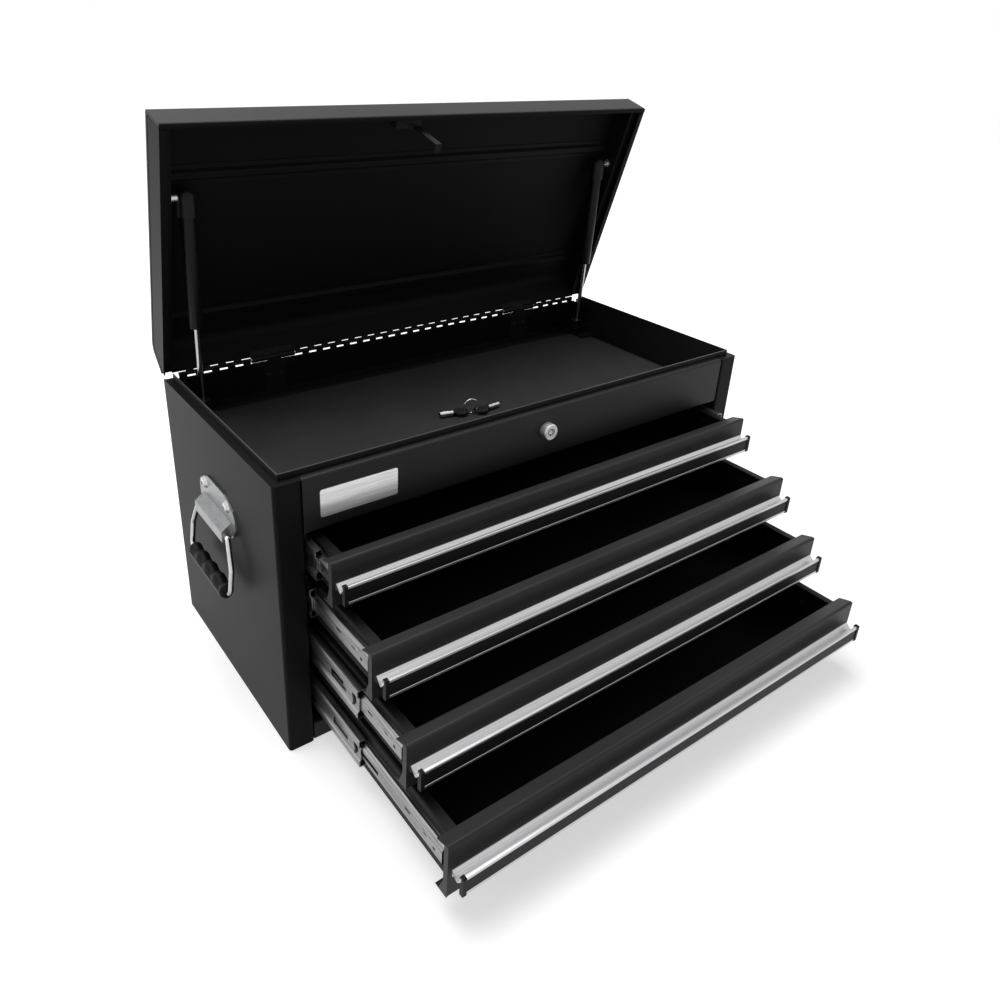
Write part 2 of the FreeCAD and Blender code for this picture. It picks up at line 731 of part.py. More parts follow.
def lid_stiffener(place):
    """Hat channel across the inside of the lid's top."""
    mid = front + place
    low = lid_top - sheet - stiffener_height
    half = stiffener_width / 2
    reach = rail_x - 1.0
    outline = [(mid - half - 5, low + stiffener_height), (mid - half, low + stiffener_height),
               (mid - half + 3, low), (mid + half - 3, low),
               (mid + half, low + stiffener_height), (mid + half + 5, low + stiffener_height)]
    return bent_sheet(outline, stiffener_sheet, stiffener_sheet, -1, side(-reach),
                      vector(2 * reach, 0, 0))


def striker():
    """Lock striker inside the lid's front wall: base plate, shelf over the lip, ears, and a
    tongue with a tab behind the header that catches under the turned cam."""
    wall = front + sheet
    tongue_y = front + striker_reach
    rear = tongue_y + striker_thick
    shelf = rim_z + striker_base_low
    foot = lock_height - tongue_low
    pieces = [box(striker_left, striker_right, wall, wall + striker_thick, shelf,
                  rim_z + striker_base_high),
              box(striker_left, striker_right, wall, rear, shelf, shelf + striker_thick),
              box(-tongue_to, -tongue_from, tongue_y, rear, foot, shelf + striker_thick),
              box(-tongue_to, -tongue_from, tongue_y, cam_plane() + cam_thick + 3.0, foot,
                  foot + striker_thick)]
    for x in (striker_left, striker_right - striker_thick):
        pieces.append(box(x, x + striker_thick, wall, rear, shelf, shelf + striker_ear))
    return join(pieces)


def cam_plane():
    """Front face of the lock's cam."""
    return front + header_inset + lock_barrel_back + 0.4


# ---------------------------------------------------------------- gas struts
def lid_ball(degrees):
    """Upper ball centre, y and z, with the lid this far from shut."""
    turn = math.radians(degrees)
    dy, dz = strut_lid_reach
    return (hinge_y + dy * math.cos(turn) + dz * math.sin(turn),
            hinge_z - dy * math.sin(turn) + dz * math.cos(turn))


def strut_line():
    """Foot, upper ball and the unit vector from one to the other, lid open."""
    foot = vector(-strut_x, strut_foot[0], strut_foot[1])
    y, z = lid_ball(lid_open)
    head = vector(-strut_x, y, z)
    return foot, head, (head - foot).normalize()


def strut_bracket():
    """Angle on the mat beside the tray's wall that carries the lower ball stud."""
    foot = strut_line()[0]
    wall = -tray_half + sheet + flat_gap
    half = bracket_length / 2
    crown = foot.z + ball_radius + 3.0
    leg = rounded_face([(foot.y - half, mat_top, 0.0), (foot.y + half, mat_top, 0.0),
                        (foot.y + 9.0, crown, 8.0), (foot.y - 9.0, crown, 8.0)],
                       side(wall)).extrude(vector(bracket_thick, 0, 0))
    base = box(wall, wall + bracket_reach, foot.y - half, foot.y + half, mat_top,
               mat_top + bracket_thick)
    stud = rod(stud_radius, vector(wall, foot.y, foot.z), foot)
    collar = rod(stud_radius + 2.0, vector(wall, foot.y, foot.z),
                 vector(wall + bracket_thick + 2.0, foot.y, foot.z))
    return join([leg, base, stud, collar, Part.makeSphere(ball_radius, foot)])


def strut_foot_socket():
    """Plastic end on the rod, with a spherical seat for the lower ball."""
    foot, head, along = strut_line()
    shell = join([Part.makeSphere(foot_socket_radius, foot),
                  rod(foot_socket_radius, foot,
                      foot + along * (foot_socket_length - foot_socket_radius))])
    seat = Part.makeSphere(ball_radius + 0.3, foot)
    throat = rod(stud_radius + 1.2, vector(-strut_x - 14, foot.y, foot.z), foot)
    rod_hole = rod(strut_rod_radius, foot + along * 10.0, head)
    return remove(shell, [seat, throat, rod_hole])


def strut_rod():
    """Polished piston rod, from the foot socket up into the tube."""
    foot, head, along = strut_line()
    length = (head - foot).Length
    return rod(strut_rod_radius, foot + along * 10.0, foot + along * (strut_tube_start + 30.0))


def strut_tube():
    """Black pressure tube, closed at the top, bored for the rod."""
    foot, head, along = strut_line()
    start = foot + along * strut_tube_start
    end = head - along * (socket_length - socket_past)
    body = rod(strut_tube_radius, start, end)
    room = rod(strut_tube_radius - strut_wall, start + along * 8.0, end - along * 6.0)
    bore = rod(strut_rod_radius + strut_bore_gap, start - along * 1.0, start + along * 9.0)
    return remove(body, [room, bore])


def strut_head_socket():
    """Plastic end on the tube with its steel ball stud towards the lid's end panel."""
    foot, head, along = strut_line()
    body = rod(socket_radius, head - along * (socket_length - socket_past), head + along * 2.0)
    dome = Part.makeSphere(socket_radius, head + along * 0.5)
    body = join([body, dome])
    wall = -rail_x + flat_gap
    seat = vector(-strut_x - socket_radius + 1.0, head.y, head.z)
    stud = rod(stud_radius, vector(wall, head.y, head.z), seat)
    collar = rod(stud_radius + 2.0, vector(wall, head.y, head.z),
                 vector(wall + 2.5, head.y, head.z))
    way = rod(stud_radius, vector(-strut_x - socket_radius - 1, head.y, head.z), seat)
    return body.cut(way), join([stud, collar])


# ---------------------------------------------------------------- drawers and slides
def member(outline, y0, radius=0.8):
    """A slide member along the chest, from its section in x and z."""
    return bent_sheet(outline, slide_sheet, radius, -1, elevation(y0), vector(0, slide_length, 0))


def cabinet_member(z):
    """Left cabinet member: web on the slide carrier, flanges in, lips round the middle member."""
    near, far = -opening, -opening + cabinet_member_reach
    half = cabinet_member_height / 2
    tip = middle_member_height / 2 + slide_lip_gap
    outline = [(far, z - tip), (far, z - half), (near, z - half), (near, z + half),
               (far, z + half), (far, z + tip)]
    return member(outline, front + slide_setback)


def middle_member(z, pulled):
    """Left middle member: web set in between its two ball races, slots and a notch in it."""
    near, far = -opening + middle_member_near, -opening + middle_member_reach
    half = middle_member_height / 2
    tip = drawer_member_height / 2 + slide_lip_gap
    centre = near + middle_recess
    flat = middle_recess_half
    knee = flat + middle_recess_slope
    outline = [(far, z - tip), (far, z - half), (near, z - half), (near, z - knee),
               (centre, z - flat), (centre, z + flat), (near, z + knee), (near, z + half),
               (far, z + half), (far, z + tip)]
    start = front + slide_setback - pulled
    body = member(outline, start)

    def hole(setback, length, height):
        return box(near - 1, centre + slide_sheet + 1, start + setback,
                   start + setback + length, z - height / 2, z + height / 2)

    return remove(body, [hole(slot_setback, slot_length, slot_height),
                         hole(slide_length - slot_setback - slot_length, slot_length, slot_height),
                         hole(notch_setback, notch_length, notch_height)])


def drawer_member(z, pulled):
    """Left drawer member: flanges off the drawer box, web raised between the ball races."""
    half, flat = drawer_member_height / 2, drawer_member_web / 2
    near, far = -box_half, -box_half - drawer_member_reach
    knee = -box_half - drawer_member_flange
    outline = [(near, z + half), (knee, z + half), (far, z + flat), (far, z - flat),
               (knee, z - half), (near, z - half)]
    start = front - pulled + drawer_member_setback
    body = bent_sheet(outline, slide_sheet, 1.0, 1, elevation(start),
                      vector(0, slide_length, 0))
    holes = [rod(rivet_radius + rivet_hole_gap, vector(far - 1, start + place, z),
                 vector(near, start + place, z)) for place in rivet_places]
    middle = start + sum(rivet_places) / 2
    holes.append(box(far - 1, near, middle - slot_length / 2, middle + slot_length / 2,
                     z - slot_height / 4, z + slot_height / 4))
    return remove(body, holes)


def slide_rivet(z, pulled, place):
    """Shouldered rivet through the left box wall and the drawer member's web."""
    y = front + drawer_member_setback - pulled + place
    inner = -box_half + sheet
    web = -box_half - drawer_member_reach
    head = rod(rivet_head_radius, vector(inner, y, z), vector(inner + rivet_head_thick, y, z))
    shoulder = rod(rivet_head_radius, vector(web + slide_sheet, y, z), vector(-box_half, y, z))
    shank = rod(rivet_radius, vector(web, y, z), vector(inner + 0.1, y, z))
    return join([head, shoulder, shank])


def drawer_front(low, high, pulled):
    """Pressed front: face, top strip falling inwards, bottom return, and end returns that
    get narrow beside the slides."""
    face = front - pulled
    inside = face + front_thick
    outline = [(inside, low), (face, low), (face, high), (inside, high - front_fall)]
    long_part = bent_sheet(outline, sheet, 1.5, -1, side(-face_half),
                           vector(2 * face_half, 0, 0))
    narrow = face + end_return_high
    under_strip = high - sheet - front_fall * end_return_high / front_thick
    end_face = rounded_face([(face + 0.1, low + 0.1, 1.0), (face + end_return_low, low + 0.1, 0.0),
                             (narrow, low + end_return_rise, 3.0), (narrow, under_strip, 0.0),
                             (face + 0.1, high - sheet, 0.5)], side(-face_half))
    end = end_face.extrude(vector(sheet, 0, 0))
    return join([long_part, end, mirrored(end)])


def drawer_box(low, high, pulled, z):
    """Box behind the front: two sides flanged in at top and bottom, the floor that rests on
    their flanges, and a front and a back wall that stand on the floor."""
    start = front - pulled + front_thick
    end = start + box_length
    under = low + box_lift
    floor_top = under + 2 * sheet
    top = high - front_fall - box_drop
    outline = [(-box_half + hem_width, top), (-box_half, top), (-box_half, under),
               (-box_half + box_flange, under)]
    wall = bent_sheet(outline, sheet, box_bend, 1, elevation(start), vector(0, box_length, 0))
    holes = [rod(rivet_radius + rivet_hole_gap, vector(-half_width, y, z), vector(0, y, z))
             for y in [front + drawer_member_setback - pulled + p for p in rivet_places]]
    wall = remove(wall, holes)
    half = box_half - sheet
    between = half - box_bend - flat_gap
    floor = box(-between, between, start, end, under + sheet, floor_top)
    corner = box_bend + 0.1
    ahead = rounded_face([(-half, floor_top, 0.0), (half, floor_top, 0.0),
                          (half, top - sheet, corner), (-half, top - sheet, corner)],
                         elevation(start)).extrude(vector(0, sheet, 0))
    hem = box(-box_half + hem_width, box_half - hem_width, end - hem_width, end,
              top - sheet, top)
    behind = join([moved(ahead, y=box_length - sheet), hem])
    return [wall, mirrored(wall), floor, ahead, behind]


def pull_outline(top, face, corners):
    """Section points given as distance off the face, height over the pull's top edge, radius."""
    return [(face - out, top + up, radius) for out, up, radius in corners]


def pull_end():
    return face_half - pull_end_gap


def strip_back():
    """Back of the pull's front rail, off the face."""
    return pull_reach - 1.0 - pull_wall


def pull_trough(top, face):
    """Aluminium leg on the face and the trough that runs up to the front rail."""
    wall = pull_wall
    back_out = strip_back()
    corners = [(0, 0, 0.3), (1.2, 0, 0.5), (pull_trough_out, -pull_trough_fall, 1.2),
               (back_out, pull_bead_rise, 0.0), (back_out, pull_bead_rise - 5.0, 0.0),
               (pull_trough_out, -pull_trough_fall - wall, 2.0),
               (wall, -wall - 0.4, 0.8), (wall, -pull_leg, 0.3), (0, -pull_leg, 0.3)]
    profile = rounded_face(pull_outline(top, face, corners), side(-pull_end()))
    return profile.extrude(vector(2 * pull_end(), 0, 0))


def pull_rail(top, face):
    """Front rail: bead along the top, recessed field for the black strip, and lower lip."""
    reach = pull_reach
    low = -pull_skirt
    half = pull_end() - pull_cap
    corners = [(strip_back(), pull_bead_rise, 0.0), (reach, pull_bead_rise, 0.8),
               (reach, pull_bead_rise - 3.2, 0.5), (reach - 1.0, pull_bead_rise - 3.2, 0.2),
               (reach - 1.0, low + pull_lip, 0.2), (reach, low + pull_lip, 0.4),
               (reach, low, 0.5), (strip_back(), low, 0.4)]
    profile = rounded_face(pull_outline(top, face, corners), side(-half))
    return profile.extrude(vector(2 * half, 0, 0))


def drawer_pull(top, face):
    return [pull_trough(top, face), pull_rail(top, face)]


def pull_trims(top, face):
    """Two black end caps and the black strip set into the pull's front rail."""
    proud = pull_cap_proud
    outer = pull_reach + proud
    low = -pull_skirt - proud
    half = pull_end() - pull_cap
    corners = [(pull_cap_out, pull_bead_rise + proud, 0.6), (outer, pull_bead_rise + proud, 1.2),
               (outer, low, 1.2), (pull_cap_out, low, 0.6)]
    cap = rounded_face(pull_outline(top, face, corners), side(-pull_end()))
    cap = cap.extrude(vector(pull_cap, 0, 0)).cut(pull_trough(top, face))
    field = pull_reach - 1.0
    strip = box(-half, half, face - field - 0.8, face - field, top - pull_skirt + pull_lip + 0.2,
                top + pull_bead_rise - 3.4)
    return [cap, mirrored(cap), strip]


# ---------------------------------------------------------------- lock, badge, keys
def lock_body():
    """Chromed housing through the header with its nut, and the clip that keeps the cam on."""
    face = front + header_inset
    collar = Part.makeCone(lock_radius - 0.8, lock_radius, 1.2,
                           vector(0, face - lock_proud, lock_height), vector(0, 1, 0))
    collar = join([collar, rod(lock_radius, vector(0, face - lock_proud + 1.2, lock_height),
                               vector(0, face, lock_height))])
    barrel_part = rod(lock_barrel_radius, vector(0, face - 1, lock_height),
                      vector(0, face + lock_barrel_back, lock_height))
    hole = rod(lock_core_radius + 0.05, vector(0, face - lock_proud - 1, lock_height),
               vector(0, face + lock_barrel_back + 1, lock_height))
    body = join([collar, barrel_part]).cut(hole)
    nut_y = face + sheet
    nut = hexagon(0, lock_height, lock_nut_flats, elevation(nut_y))
    nut = nut.extrude(vector(0, lock_nut_thick, 0))
    nut = nut.cut(rod(lock_barrel_radius, vector(0, nut_y - 1, lock_height),
                      vector(0, nut_y + lock_nut_thick + 1, lock_height)))
    return body, nut


def lock_core():
    """Turning core with the ring slot for a tubular key, and the cam behind it."""
    face = front + header_inset
    start = face - lock_proud + lock_core_recess
    core = rod(lock_core_radius, vector(0, start, lock_height),
               vector(0, cam_plane(), lock_height))
    ring = tube(4.0, 2.7, vector(0, start - 1, lock_height), vector(0, start + 6, lock_height))
    notch = box(-0.9, 0.9, start - 1, start + 3, lock_height + 2.5, lock_height + 4.6)
    core = remove(core, [ring, notch])
    shank = rod(cam_shank, vector(0, cam_plane() - 0.5, lock_height),
                vector(0, cam_plane() + cam_thick + 3.0, lock_height))
    core = join([core, shank])
    half = cam_width / 2
    plate = rounded_face([(-half, lock_height - half, 5.0),
                          (cam_length, lock_height - half, 4.0),
                          (cam_length, lock_height + half, 4.0),
                          (-half, lock_height + half, 5.0)],
                         elevation(cam_plane())).extrude(vector(0, cam_thick, 0))
    plate = plate.cut(rod(cam_shank, vector(0, cam_plane() - 1, lock_height),
                          vector(0, cam_plane() + cam_thick + 1, lock_height)))
    return core, plate


def badge_plate():
    """Plain badge plate on the header."""
    face = front + header_inset
    corners = [(badge_left, badge_low, badge_radius), (badge_right, badge_low, badge_radius),
               (badge_right, badge_high, badge_radius), (badge_left, badge_high, badge_radius)]
    return rounded_face(corners, elevation(face - badge_thick)).extrude(vector(0, badge_thick, 0))


def key(x, y, turn, hole):
    """Tubular key lying on the mat: moulded bow with the ring's hole, and hollow barrel."""
    level = mat_top + key_barrel_radius
    bow = Part.makeCylinder(key_bow_radius, key_bow_thick, vector(0, 0, -key_bow_thick / 2))
    neck = box(key_bow_radius - 3, key_bow_radius + 4, -3.4, 3.4, -key_bow_thick / 2,
               key_bow_thick / 2)
    root = key_bow_radius + 3.0
    barrel_part = tube(key_barrel_radius, key_bore_radius, vector(root, 0, 0),
                       vector(root + key_barrel_length, 0, 0))
    plug = rod(key_barrel_radius, vector(root - 1.0, 0, 0), vector(root + 2.0, 0, 0))
    shape = join([bow, neck, barrel_part, plug])
    shape.rotate(vector(0, 0, 0), vector(0, 0, 1), turn)
    bore = rod(key_hole_radius, hole - vector(0, 0, 9), hole + vector(0, 0, 9))
    return moved(shape, x, y, level).cut(bore)


def keys():
    """Two keys left on the mat, and the ring that stands through both bows."""
    level = mat_top + key_barrel_radius
    left = vector(key_left[0], key_left[1], level)
    right = vector(key_right[0], key_right[1], level)
    link = (right - left).normalize()
    left_hole = left + link * key_hole_reach
    right_hole = right - link * key_hole_reach
    half_chord = (right_hole - left_hole).Length / 2
    rise = math.sqrt(key_ring_radius ** 2 - half_chord ** 2)
    centre = (left_hole + right_hole) * 0.5 + vector(0, 0, rise)
    ring = Part.makeTorus(key_ring_radius, key_ring_wire, centre, vector(-link.y, link.x, 0))
    return key(*key_left, left_hole), key(*key_right, right_hole), ring


# ---------------------------------------------------------------- side handles
def handle_plate():
    """Left handle plate: rounded plate, and a folded hood with cheeks that bear the bail."""
    out = -half_width
    half = handle_plate_width / 2
    hood_half = handle_hood_length / 2
    plate = rounded_face([(handle_y - half, handle_plate_low + 14, 8.0),
                          (handle_y - hood_half, handle_plate_low, 4.0),
                          (handle_y + hood_half, handle_plate_low, 4.0),
                          (handle_y + half, handle_plate_low + 14, 8.0),
                          (handle_y + half, handle_plate_top - 14, 12.0),
                          (handle_y + half - 26, handle_plate_top, 14.0),
                          (handle_y - half + 26, handle_plate_top, 14.0),
                          (handle_y - half, handle_plate_top - 14, 12.0)],
                         side(out - handle_plate_thick)).extrude(vector(handle_plate_thick, 0, 0))
    seat = -half_width - handle_plate_thick
    fold = -half_width - handle_hood_out
    section = [(seat, handle_hood_top), (fold, handle_hood_fold), (fold, handle_hood_low)]
    hood = bent_sheet(section, handle_hood_wall, 1.5, 1, elevation(handle_y - hood_half),
                      vector(0, handle_hood_length, 0))
    cheek = rounded_face([(seat, handle_hood_top, 0.0), (fold + 0.1, handle_hood_fold, 3.0),
                          (fold + 0.1, handle_hood_low + 0.1, 1.5),
                          (fold + handle_hood_out / 2, handle_hood_low + 0.1, 3.0),
                          (seat, handle_hood_low + handle_cheek_rise, 0.0)],
                         elevation(handle_y - hood_half))
    cheek = cheek.extrude(vector(0, handle_hood_wall, 0))
    other = moved(cheek, y=handle_hood_length - handle_hood_wall)
    pivot = vector(out - handle_pivot_out, handle_y, handle_pivot_height)
    reach = vector(0, hood_half + 1, 0)
    way = rod(bail_wire_radius + bail_fit_gap, pivot - reach, pivot + reach)
    holes = [rod(handle_bolt_radius + rivet_hole_gap, vector(out - 5, y, handle_bolt_height),
                 vector(out + 5, y, handle_bolt_height)) for y in bolt_places()]
    return remove(join([plate, hood, cheek, other]), [way] + holes)


def handle_bolt(y):
    """Dome-head bolt through the plate and side panel, with its nut inside."""
    out = -half_width - handle_plate_thick
    head = Part.makeCone(handle_bolt_head, handle_bolt_head - 2.0, handle_bolt_head_thick,
                         vector(out, y, handle_bolt_height), vector(-1, 0, 0))
    shank = rod(handle_bolt_radius, vector(out, y, handle_bolt_height),
                vector(-half_width + sheet + 4.5, y, handle_bolt_height))
    nut_face = -half_width + sheet
    nut = hexagon(y, handle_bolt_height, handle_nut_flats, side(nut_face))
    nut = nut.extrude(vector(3.5, 0, 0))
    return join([head, shank, nut])


def hung(shape):
    """Swing a piece drawn straight down from the bail's pivot out to where it stands."""
    copy = shape.copy()
    pivot = vector(-half_width - handle_pivot_out, handle_y, handle_pivot_height)
    copy.rotate(pivot, vector(0, 1, 0), bail_swing)
    return copy


def bail_wire():
    """Chromed wire loop hanging from the hood: pivot bar, two splayed legs, grip bar."""
    x = -half_width - handle_pivot_out
    top = handle_pivot_height
    hood = handle_hood_length / 2 + 4.0
    splay = bail_splay_drop
    corners = [(handle_y - hood, top, 5.0), (handle_y - bail_half_span, top - splay, 7.0),
               (handle_y - bail_half_span, top - bail_drop, bail_bend),
               (handle_y + bail_half_span, top - bail_drop, bail_bend),
               (handle_y + bail_half_span, top - splay, 7.0), (handle_y + hood, top, 5.0)]
    face = rounded_face(corners, side(x))
    wire = face.OuterWire
    start = wire.Edges[0].valueAt(wire.Edges[0].FirstParameter)
    tangent = wire.Edges[0].tangentAt(wire.Edges[0].FirstParameter)
    profile = Part.Wire(Part.Circle(start, tangent, bail_wire_radius).toShape())
    swept = wire.makePipeShell([profile], True, True)
    return swept


def bail_grip():
    """Moulded grip round the bail's lower bar, with finger waves."""
    x = -half_width - handle_pivot_out
    z = handle_pivot_height - bail_drop
    steps = 48
    half = grip_length / 2
    points = []
    for i in range(steps + 1):
        s = -half + grip_length * i / steps
        wave = grip_wave_depth * math.cos(2 * math.pi * grip_waves * s / grip_length)
        points.append(vector(x, handle_y + s, z + grip_radius + wave))
    curve = Part.BSplineCurve()
    curve.interpolate(points)
    low, high = vector(x, handle_y - half, z), vector(x, handle_y + half, z)
    edges = [Part.LineSegment(low, points[0]).toShape(), curve.toShape(),
             Part.LineSegment(points[-1], high).toShape(), Part.LineSegment(high, low).toShape()]
    face = Part.Face(Part.Wire(edges))
    body = face.revolve(vector(x, handle_y, z), vector(0, 1, 0), 360)
    return body


# ---------------------------------------------------------------- write every node
left_side = side_panel()
save("side_panel_left", left_side)
save("side_panel_right", mirrored(left_side))
save("back_panel", back_panel())
save("bottom_panel", bottom_panel())
save("header_panel", header_panel())
save("slide_carriers", inner_side(), mirrored(inner_side()))
save("tray", *tray())
save("tray_mat", tray_mat())

body_leaf, lid_leaf, piano_pins = piano_hinge()
save("hinge_leaves_body", body_leaf, *[butt_body_leaf(x) for x in butt_places])
save("piano_leaf_lid", turned(lid_leaf, lid_open))
save("butt_leaves_lid", *[turned(butt_lid_leaf(x), lid_open) for x in butt_places])
save("hinge_pins", *(piano_pins + [butt_pin(x) for x in butt_places]))

save("lid_shell", turned(lid_shell(), lid_open))
end_panel = turned(lid_end(), lid_open)
save("lid_end_panels", end_panel, mirrored(end_panel))
rail = turned(lid_rail(), lid_open)
stiffeners = [turned(lid_stiffener(p), lid_open) for p in stiffener_places]
save("lid_rails", rail, mirrored(rail), *stiffeners)
save("lock_striker", turned(striker(), lid_open))

save("strut_brackets", strut_bracket(), mirrored(strut_bracket()))
head_socket, head_stud = strut_head_socket()
for name, place in (("left", lambda s: s), ("right", mirrored)):
    save("strut_rod_" + name, place(strut_rod()))
    save("strut_foot_socket_" + name, place(strut_foot_socket()))
    save("strut_tube_" + name, place(strut_tube()))
    save("strut_head_socket_" + name, place(head_socket), place(head_stud))

floor_z = rail_height + drawer_gap
levels = []
for height in reversed(drawer_heights):
    levels.insert(0, (floor_z, floor_z + height))
    floor_z += height + drawer_gap

cabinet_members = []
for number, (low, high) in enumerate(levels, start=1):
    pulled = drawer_pulled[number - 1]
    middle = middle_pulled[number - 1]
    z = high - slide_drops[number - 1]
    face = front - pulled
    pull_top = low + pull_share * (high - low)
    tag = str(number)
    cabinet_members += [cabinet_member(z), mirrored(cabinet_member(z))]
    save("middle_members_" + tag, middle_member(z, middle), mirrored(middle_member(z, middle)))
    rivets = [slide_rivet(z, pulled, place) for place in rivet_places]
    on_drawer = [drawer_member(z, pulled)] + rivets
    save("drawer_members_" + tag, *(on_drawer + [mirrored(s) for s in on_drawer]))
    save("drawer_box_" + tag, *drawer_box(low, high, pulled, z))
    save("drawer_front_" + tag, drawer_front(low, high, pulled))
    save("drawer_pull_" + tag, *drawer_pull(pull_top, face))
    save("pull_trims_" + tag, *pull_trims(pull_top, face))
save("cabinet_members", *cabinet_members)

save("lock_housing", *lock_body())
save("lock_core", *lock_core())
save("badge_plate", badge_plate())
save("keys", *keys())

plate = handle_plate()
save("handle_plates", plate, mirrored(plate))
bolts = [handle_bolt(y) for y in bolt_places()]
save("handle_bolts", *(bolts + [mirrored(b) for b in bolts]))
bail = bail_wire()
grip = hung(bail_grip().cut(bail))
bail = hung(bail)
for name, place in (("left", lambda s: s), ("right", mirrored)):
    save("bail_" + name, place(bail))
    save("bail_grip_" + name, place(grip))
print("nodes", len([f for f in os.listdir("parts") if f.endswith(".step")]))
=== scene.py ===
import math
import bmesh
import bpy
import numpy as np
from mathutils import Matrix, Vector


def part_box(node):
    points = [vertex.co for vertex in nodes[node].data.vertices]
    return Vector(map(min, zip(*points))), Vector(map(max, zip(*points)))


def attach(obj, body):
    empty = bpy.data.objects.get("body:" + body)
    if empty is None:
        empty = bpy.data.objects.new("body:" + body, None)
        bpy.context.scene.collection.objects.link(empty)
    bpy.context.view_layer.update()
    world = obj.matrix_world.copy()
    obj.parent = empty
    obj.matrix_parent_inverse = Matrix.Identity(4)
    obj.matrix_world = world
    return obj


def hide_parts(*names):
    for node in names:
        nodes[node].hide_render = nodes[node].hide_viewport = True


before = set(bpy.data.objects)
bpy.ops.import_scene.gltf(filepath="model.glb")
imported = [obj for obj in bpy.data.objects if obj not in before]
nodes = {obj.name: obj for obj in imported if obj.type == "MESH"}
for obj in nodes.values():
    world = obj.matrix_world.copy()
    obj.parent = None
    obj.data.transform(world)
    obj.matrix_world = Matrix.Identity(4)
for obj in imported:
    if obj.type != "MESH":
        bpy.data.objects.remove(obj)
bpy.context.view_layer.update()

scene = bpy.context.scene
print("frame loaded:", len(nodes), "nodes")


class Sock:
    # wraps one output socket, so that shader maths reads as plain expressions
    def __init__(self, tree, out):
        self.tree, self.out = tree, out

    def math(self, operation, a, b=None):
        return self.tree.add("ShaderNodeMath", {"operation": operation},
                             {0: a, 1: b} if b is not None else {0: a})

    def __add__(self, other):
        return self.math("ADD", self, other)

    def __radd__(self, other):
        return self.math("ADD", other, self)

    def __sub__(self, other):
        return self.math("SUBTRACT", self, other)

    def __rsub__(self, other):
        return self.math("SUBTRACT", other, self)

    def __mul__(self, other):
        return self.math("MULTIPLY", self, other)

    def __rmul__(self, other):
        return self.math("MULTIPLY", other, self)

    def __gt__(self, other):
        return self.math("GREATER_THAN", self, other)

    def __lt__(self, other):
        return self.math("LESS_THAN", self, other)

    def __abs__(self):
        return self.math("ABSOLUTE", self)

    def clamp(self):
        return self.tree.add("ShaderNodeClamp", {}, {"Value": self})

    def step(self, low, high):
        # 0 below low, 1 above high, a smooth ramp between
        return self.tree.add("ShaderNodeMapRange", {"interpolation_type": "SMOOTHSTEP"},
                             {"Value": self, "From Min": low, "From Max": high})

    def also(self, name):
        # another output of the same node
        return Sock(self.tree, self.out.node.outputs[name])


class Tree:
    # the nodes of one material or of the world
    def __init__(self, holder):
        holder.use_nodes = True
        self.nodes = holder.node_tree.nodes
        self.links = holder.node_tree.links
        self.nodes.clear()

    def put(self, socket, value):
        if isinstance(value, Sock):
            self.links.new(value.out, socket)
        elif hasattr(socket.default_value, "__len__"):
            full = list(value)
            socket.default_value = full + [1.0] * (len(socket.default_value) - len(full))
        else:
            socket.default_value = value

    def add(self, kind, settings, sockets, out=0):
        # any node: its settings first, then its sockets by name or number
        node = self.nodes.new(kind)
        for name, value in settings.items():
            setattr(node, name, value)
        for name, value in sockets.items():
            self.put(node.inputs[name], value)
        return Sock(self, node.outputs[out]) if len(node.outputs) else None

    def coords(self, kind="Object"):
        return self.add("ShaderNodeTexCoord", {}, {}, kind)

    def place(self, scale=(1, 1, 1), turn=(0, 0, 0)):
        # object coordinates, in metres, turned and stretched
        return self.add("ShaderNodeMapping", {},
                        {"Vector": self.coords(), "Scale": scale, "Rotation": turn})

    def split(self, vector, letter):
        return self.add("ShaderNodeSeparateXYZ", {}, {0: vector}, letter)

    def axis(self, letter):
        return self.split(self.coords(), letter)

    def noise(self, scale, detail=3.0, rough=0.5, stretch=(1, 1, 1)):
        return self.add("ShaderNodeTexNoise", {"noise_dimensions": "3D"},
                        {"Vector": self.place(stretch), "Scale": scale, "Detail": detail,
                         "Roughness": rough})

    def cells(self, scale, feature="F1", out="Distance"):
        return self.add("ShaderNodeTexVoronoi", {"feature": feature},
                        {"Vector": self.place(), "Scale": scale}, out)

    def mix(self, share, a, b):
        # colours blended by share
        return self.add("ShaderNodeMix", {"data_type": "RGBA"}, {0: share, 6: a, 7: b}, 2)

    def tones(self, share, colour, tone):
        # one colour, its brightness going from the first factor to the second by share
        return self.mix(share, shade(colour, tone[0]), shade(colour, tone[1]))

    def near(self, spot, low, high):
        # 1 within low of a spot in object coordinates, 0 beyond high
        far = self.add("ShaderNodeVectorMath", {"operation": "DISTANCE"},
                       {0: self.coords(), 1: spot}, "Value")
        return 1 - far.step(low, high)

    def upward(self, low, high):
        # 0 on faces that look down, 1 on those that look up, in the piece's own frame
        return self.split(self.coords("Normal"), "Z").step(low, high)

    def bump(self, height, distance):
        return self.add("ShaderNodeBump", {}, {"Height": height, "Distance": distance,
                                               "Strength": 1.0})


def shade(colour, factor):
    return tuple(c * factor for c in colour)


def swing(middle, *parts):
    # a number that swings about its middle: each (pattern, width) adds width * (pattern - 0.5)
    total = middle - sum(width for pattern, width in parts) / 2
    for pattern, width in parts:
        total = pattern * width + total
    return total


def finish(name, look, build):
    # one Principled surface: constants from look, varying inputs from build(tree, look)
    material = bpy.data.materials.new(name)
    tree = Tree(material)
    sockets = {"Metallic": look.get("metal", 0.0),
               "Specular IOR Level": look.get("shine", 0.5)}
    sockets.update(build(tree, look))
    shader = tree.add("ShaderNodeBsdfPrincipled", {}, sockets)
    tree.add("ShaderNodeOutputMaterial", {}, {"Surface": shader})
    return material


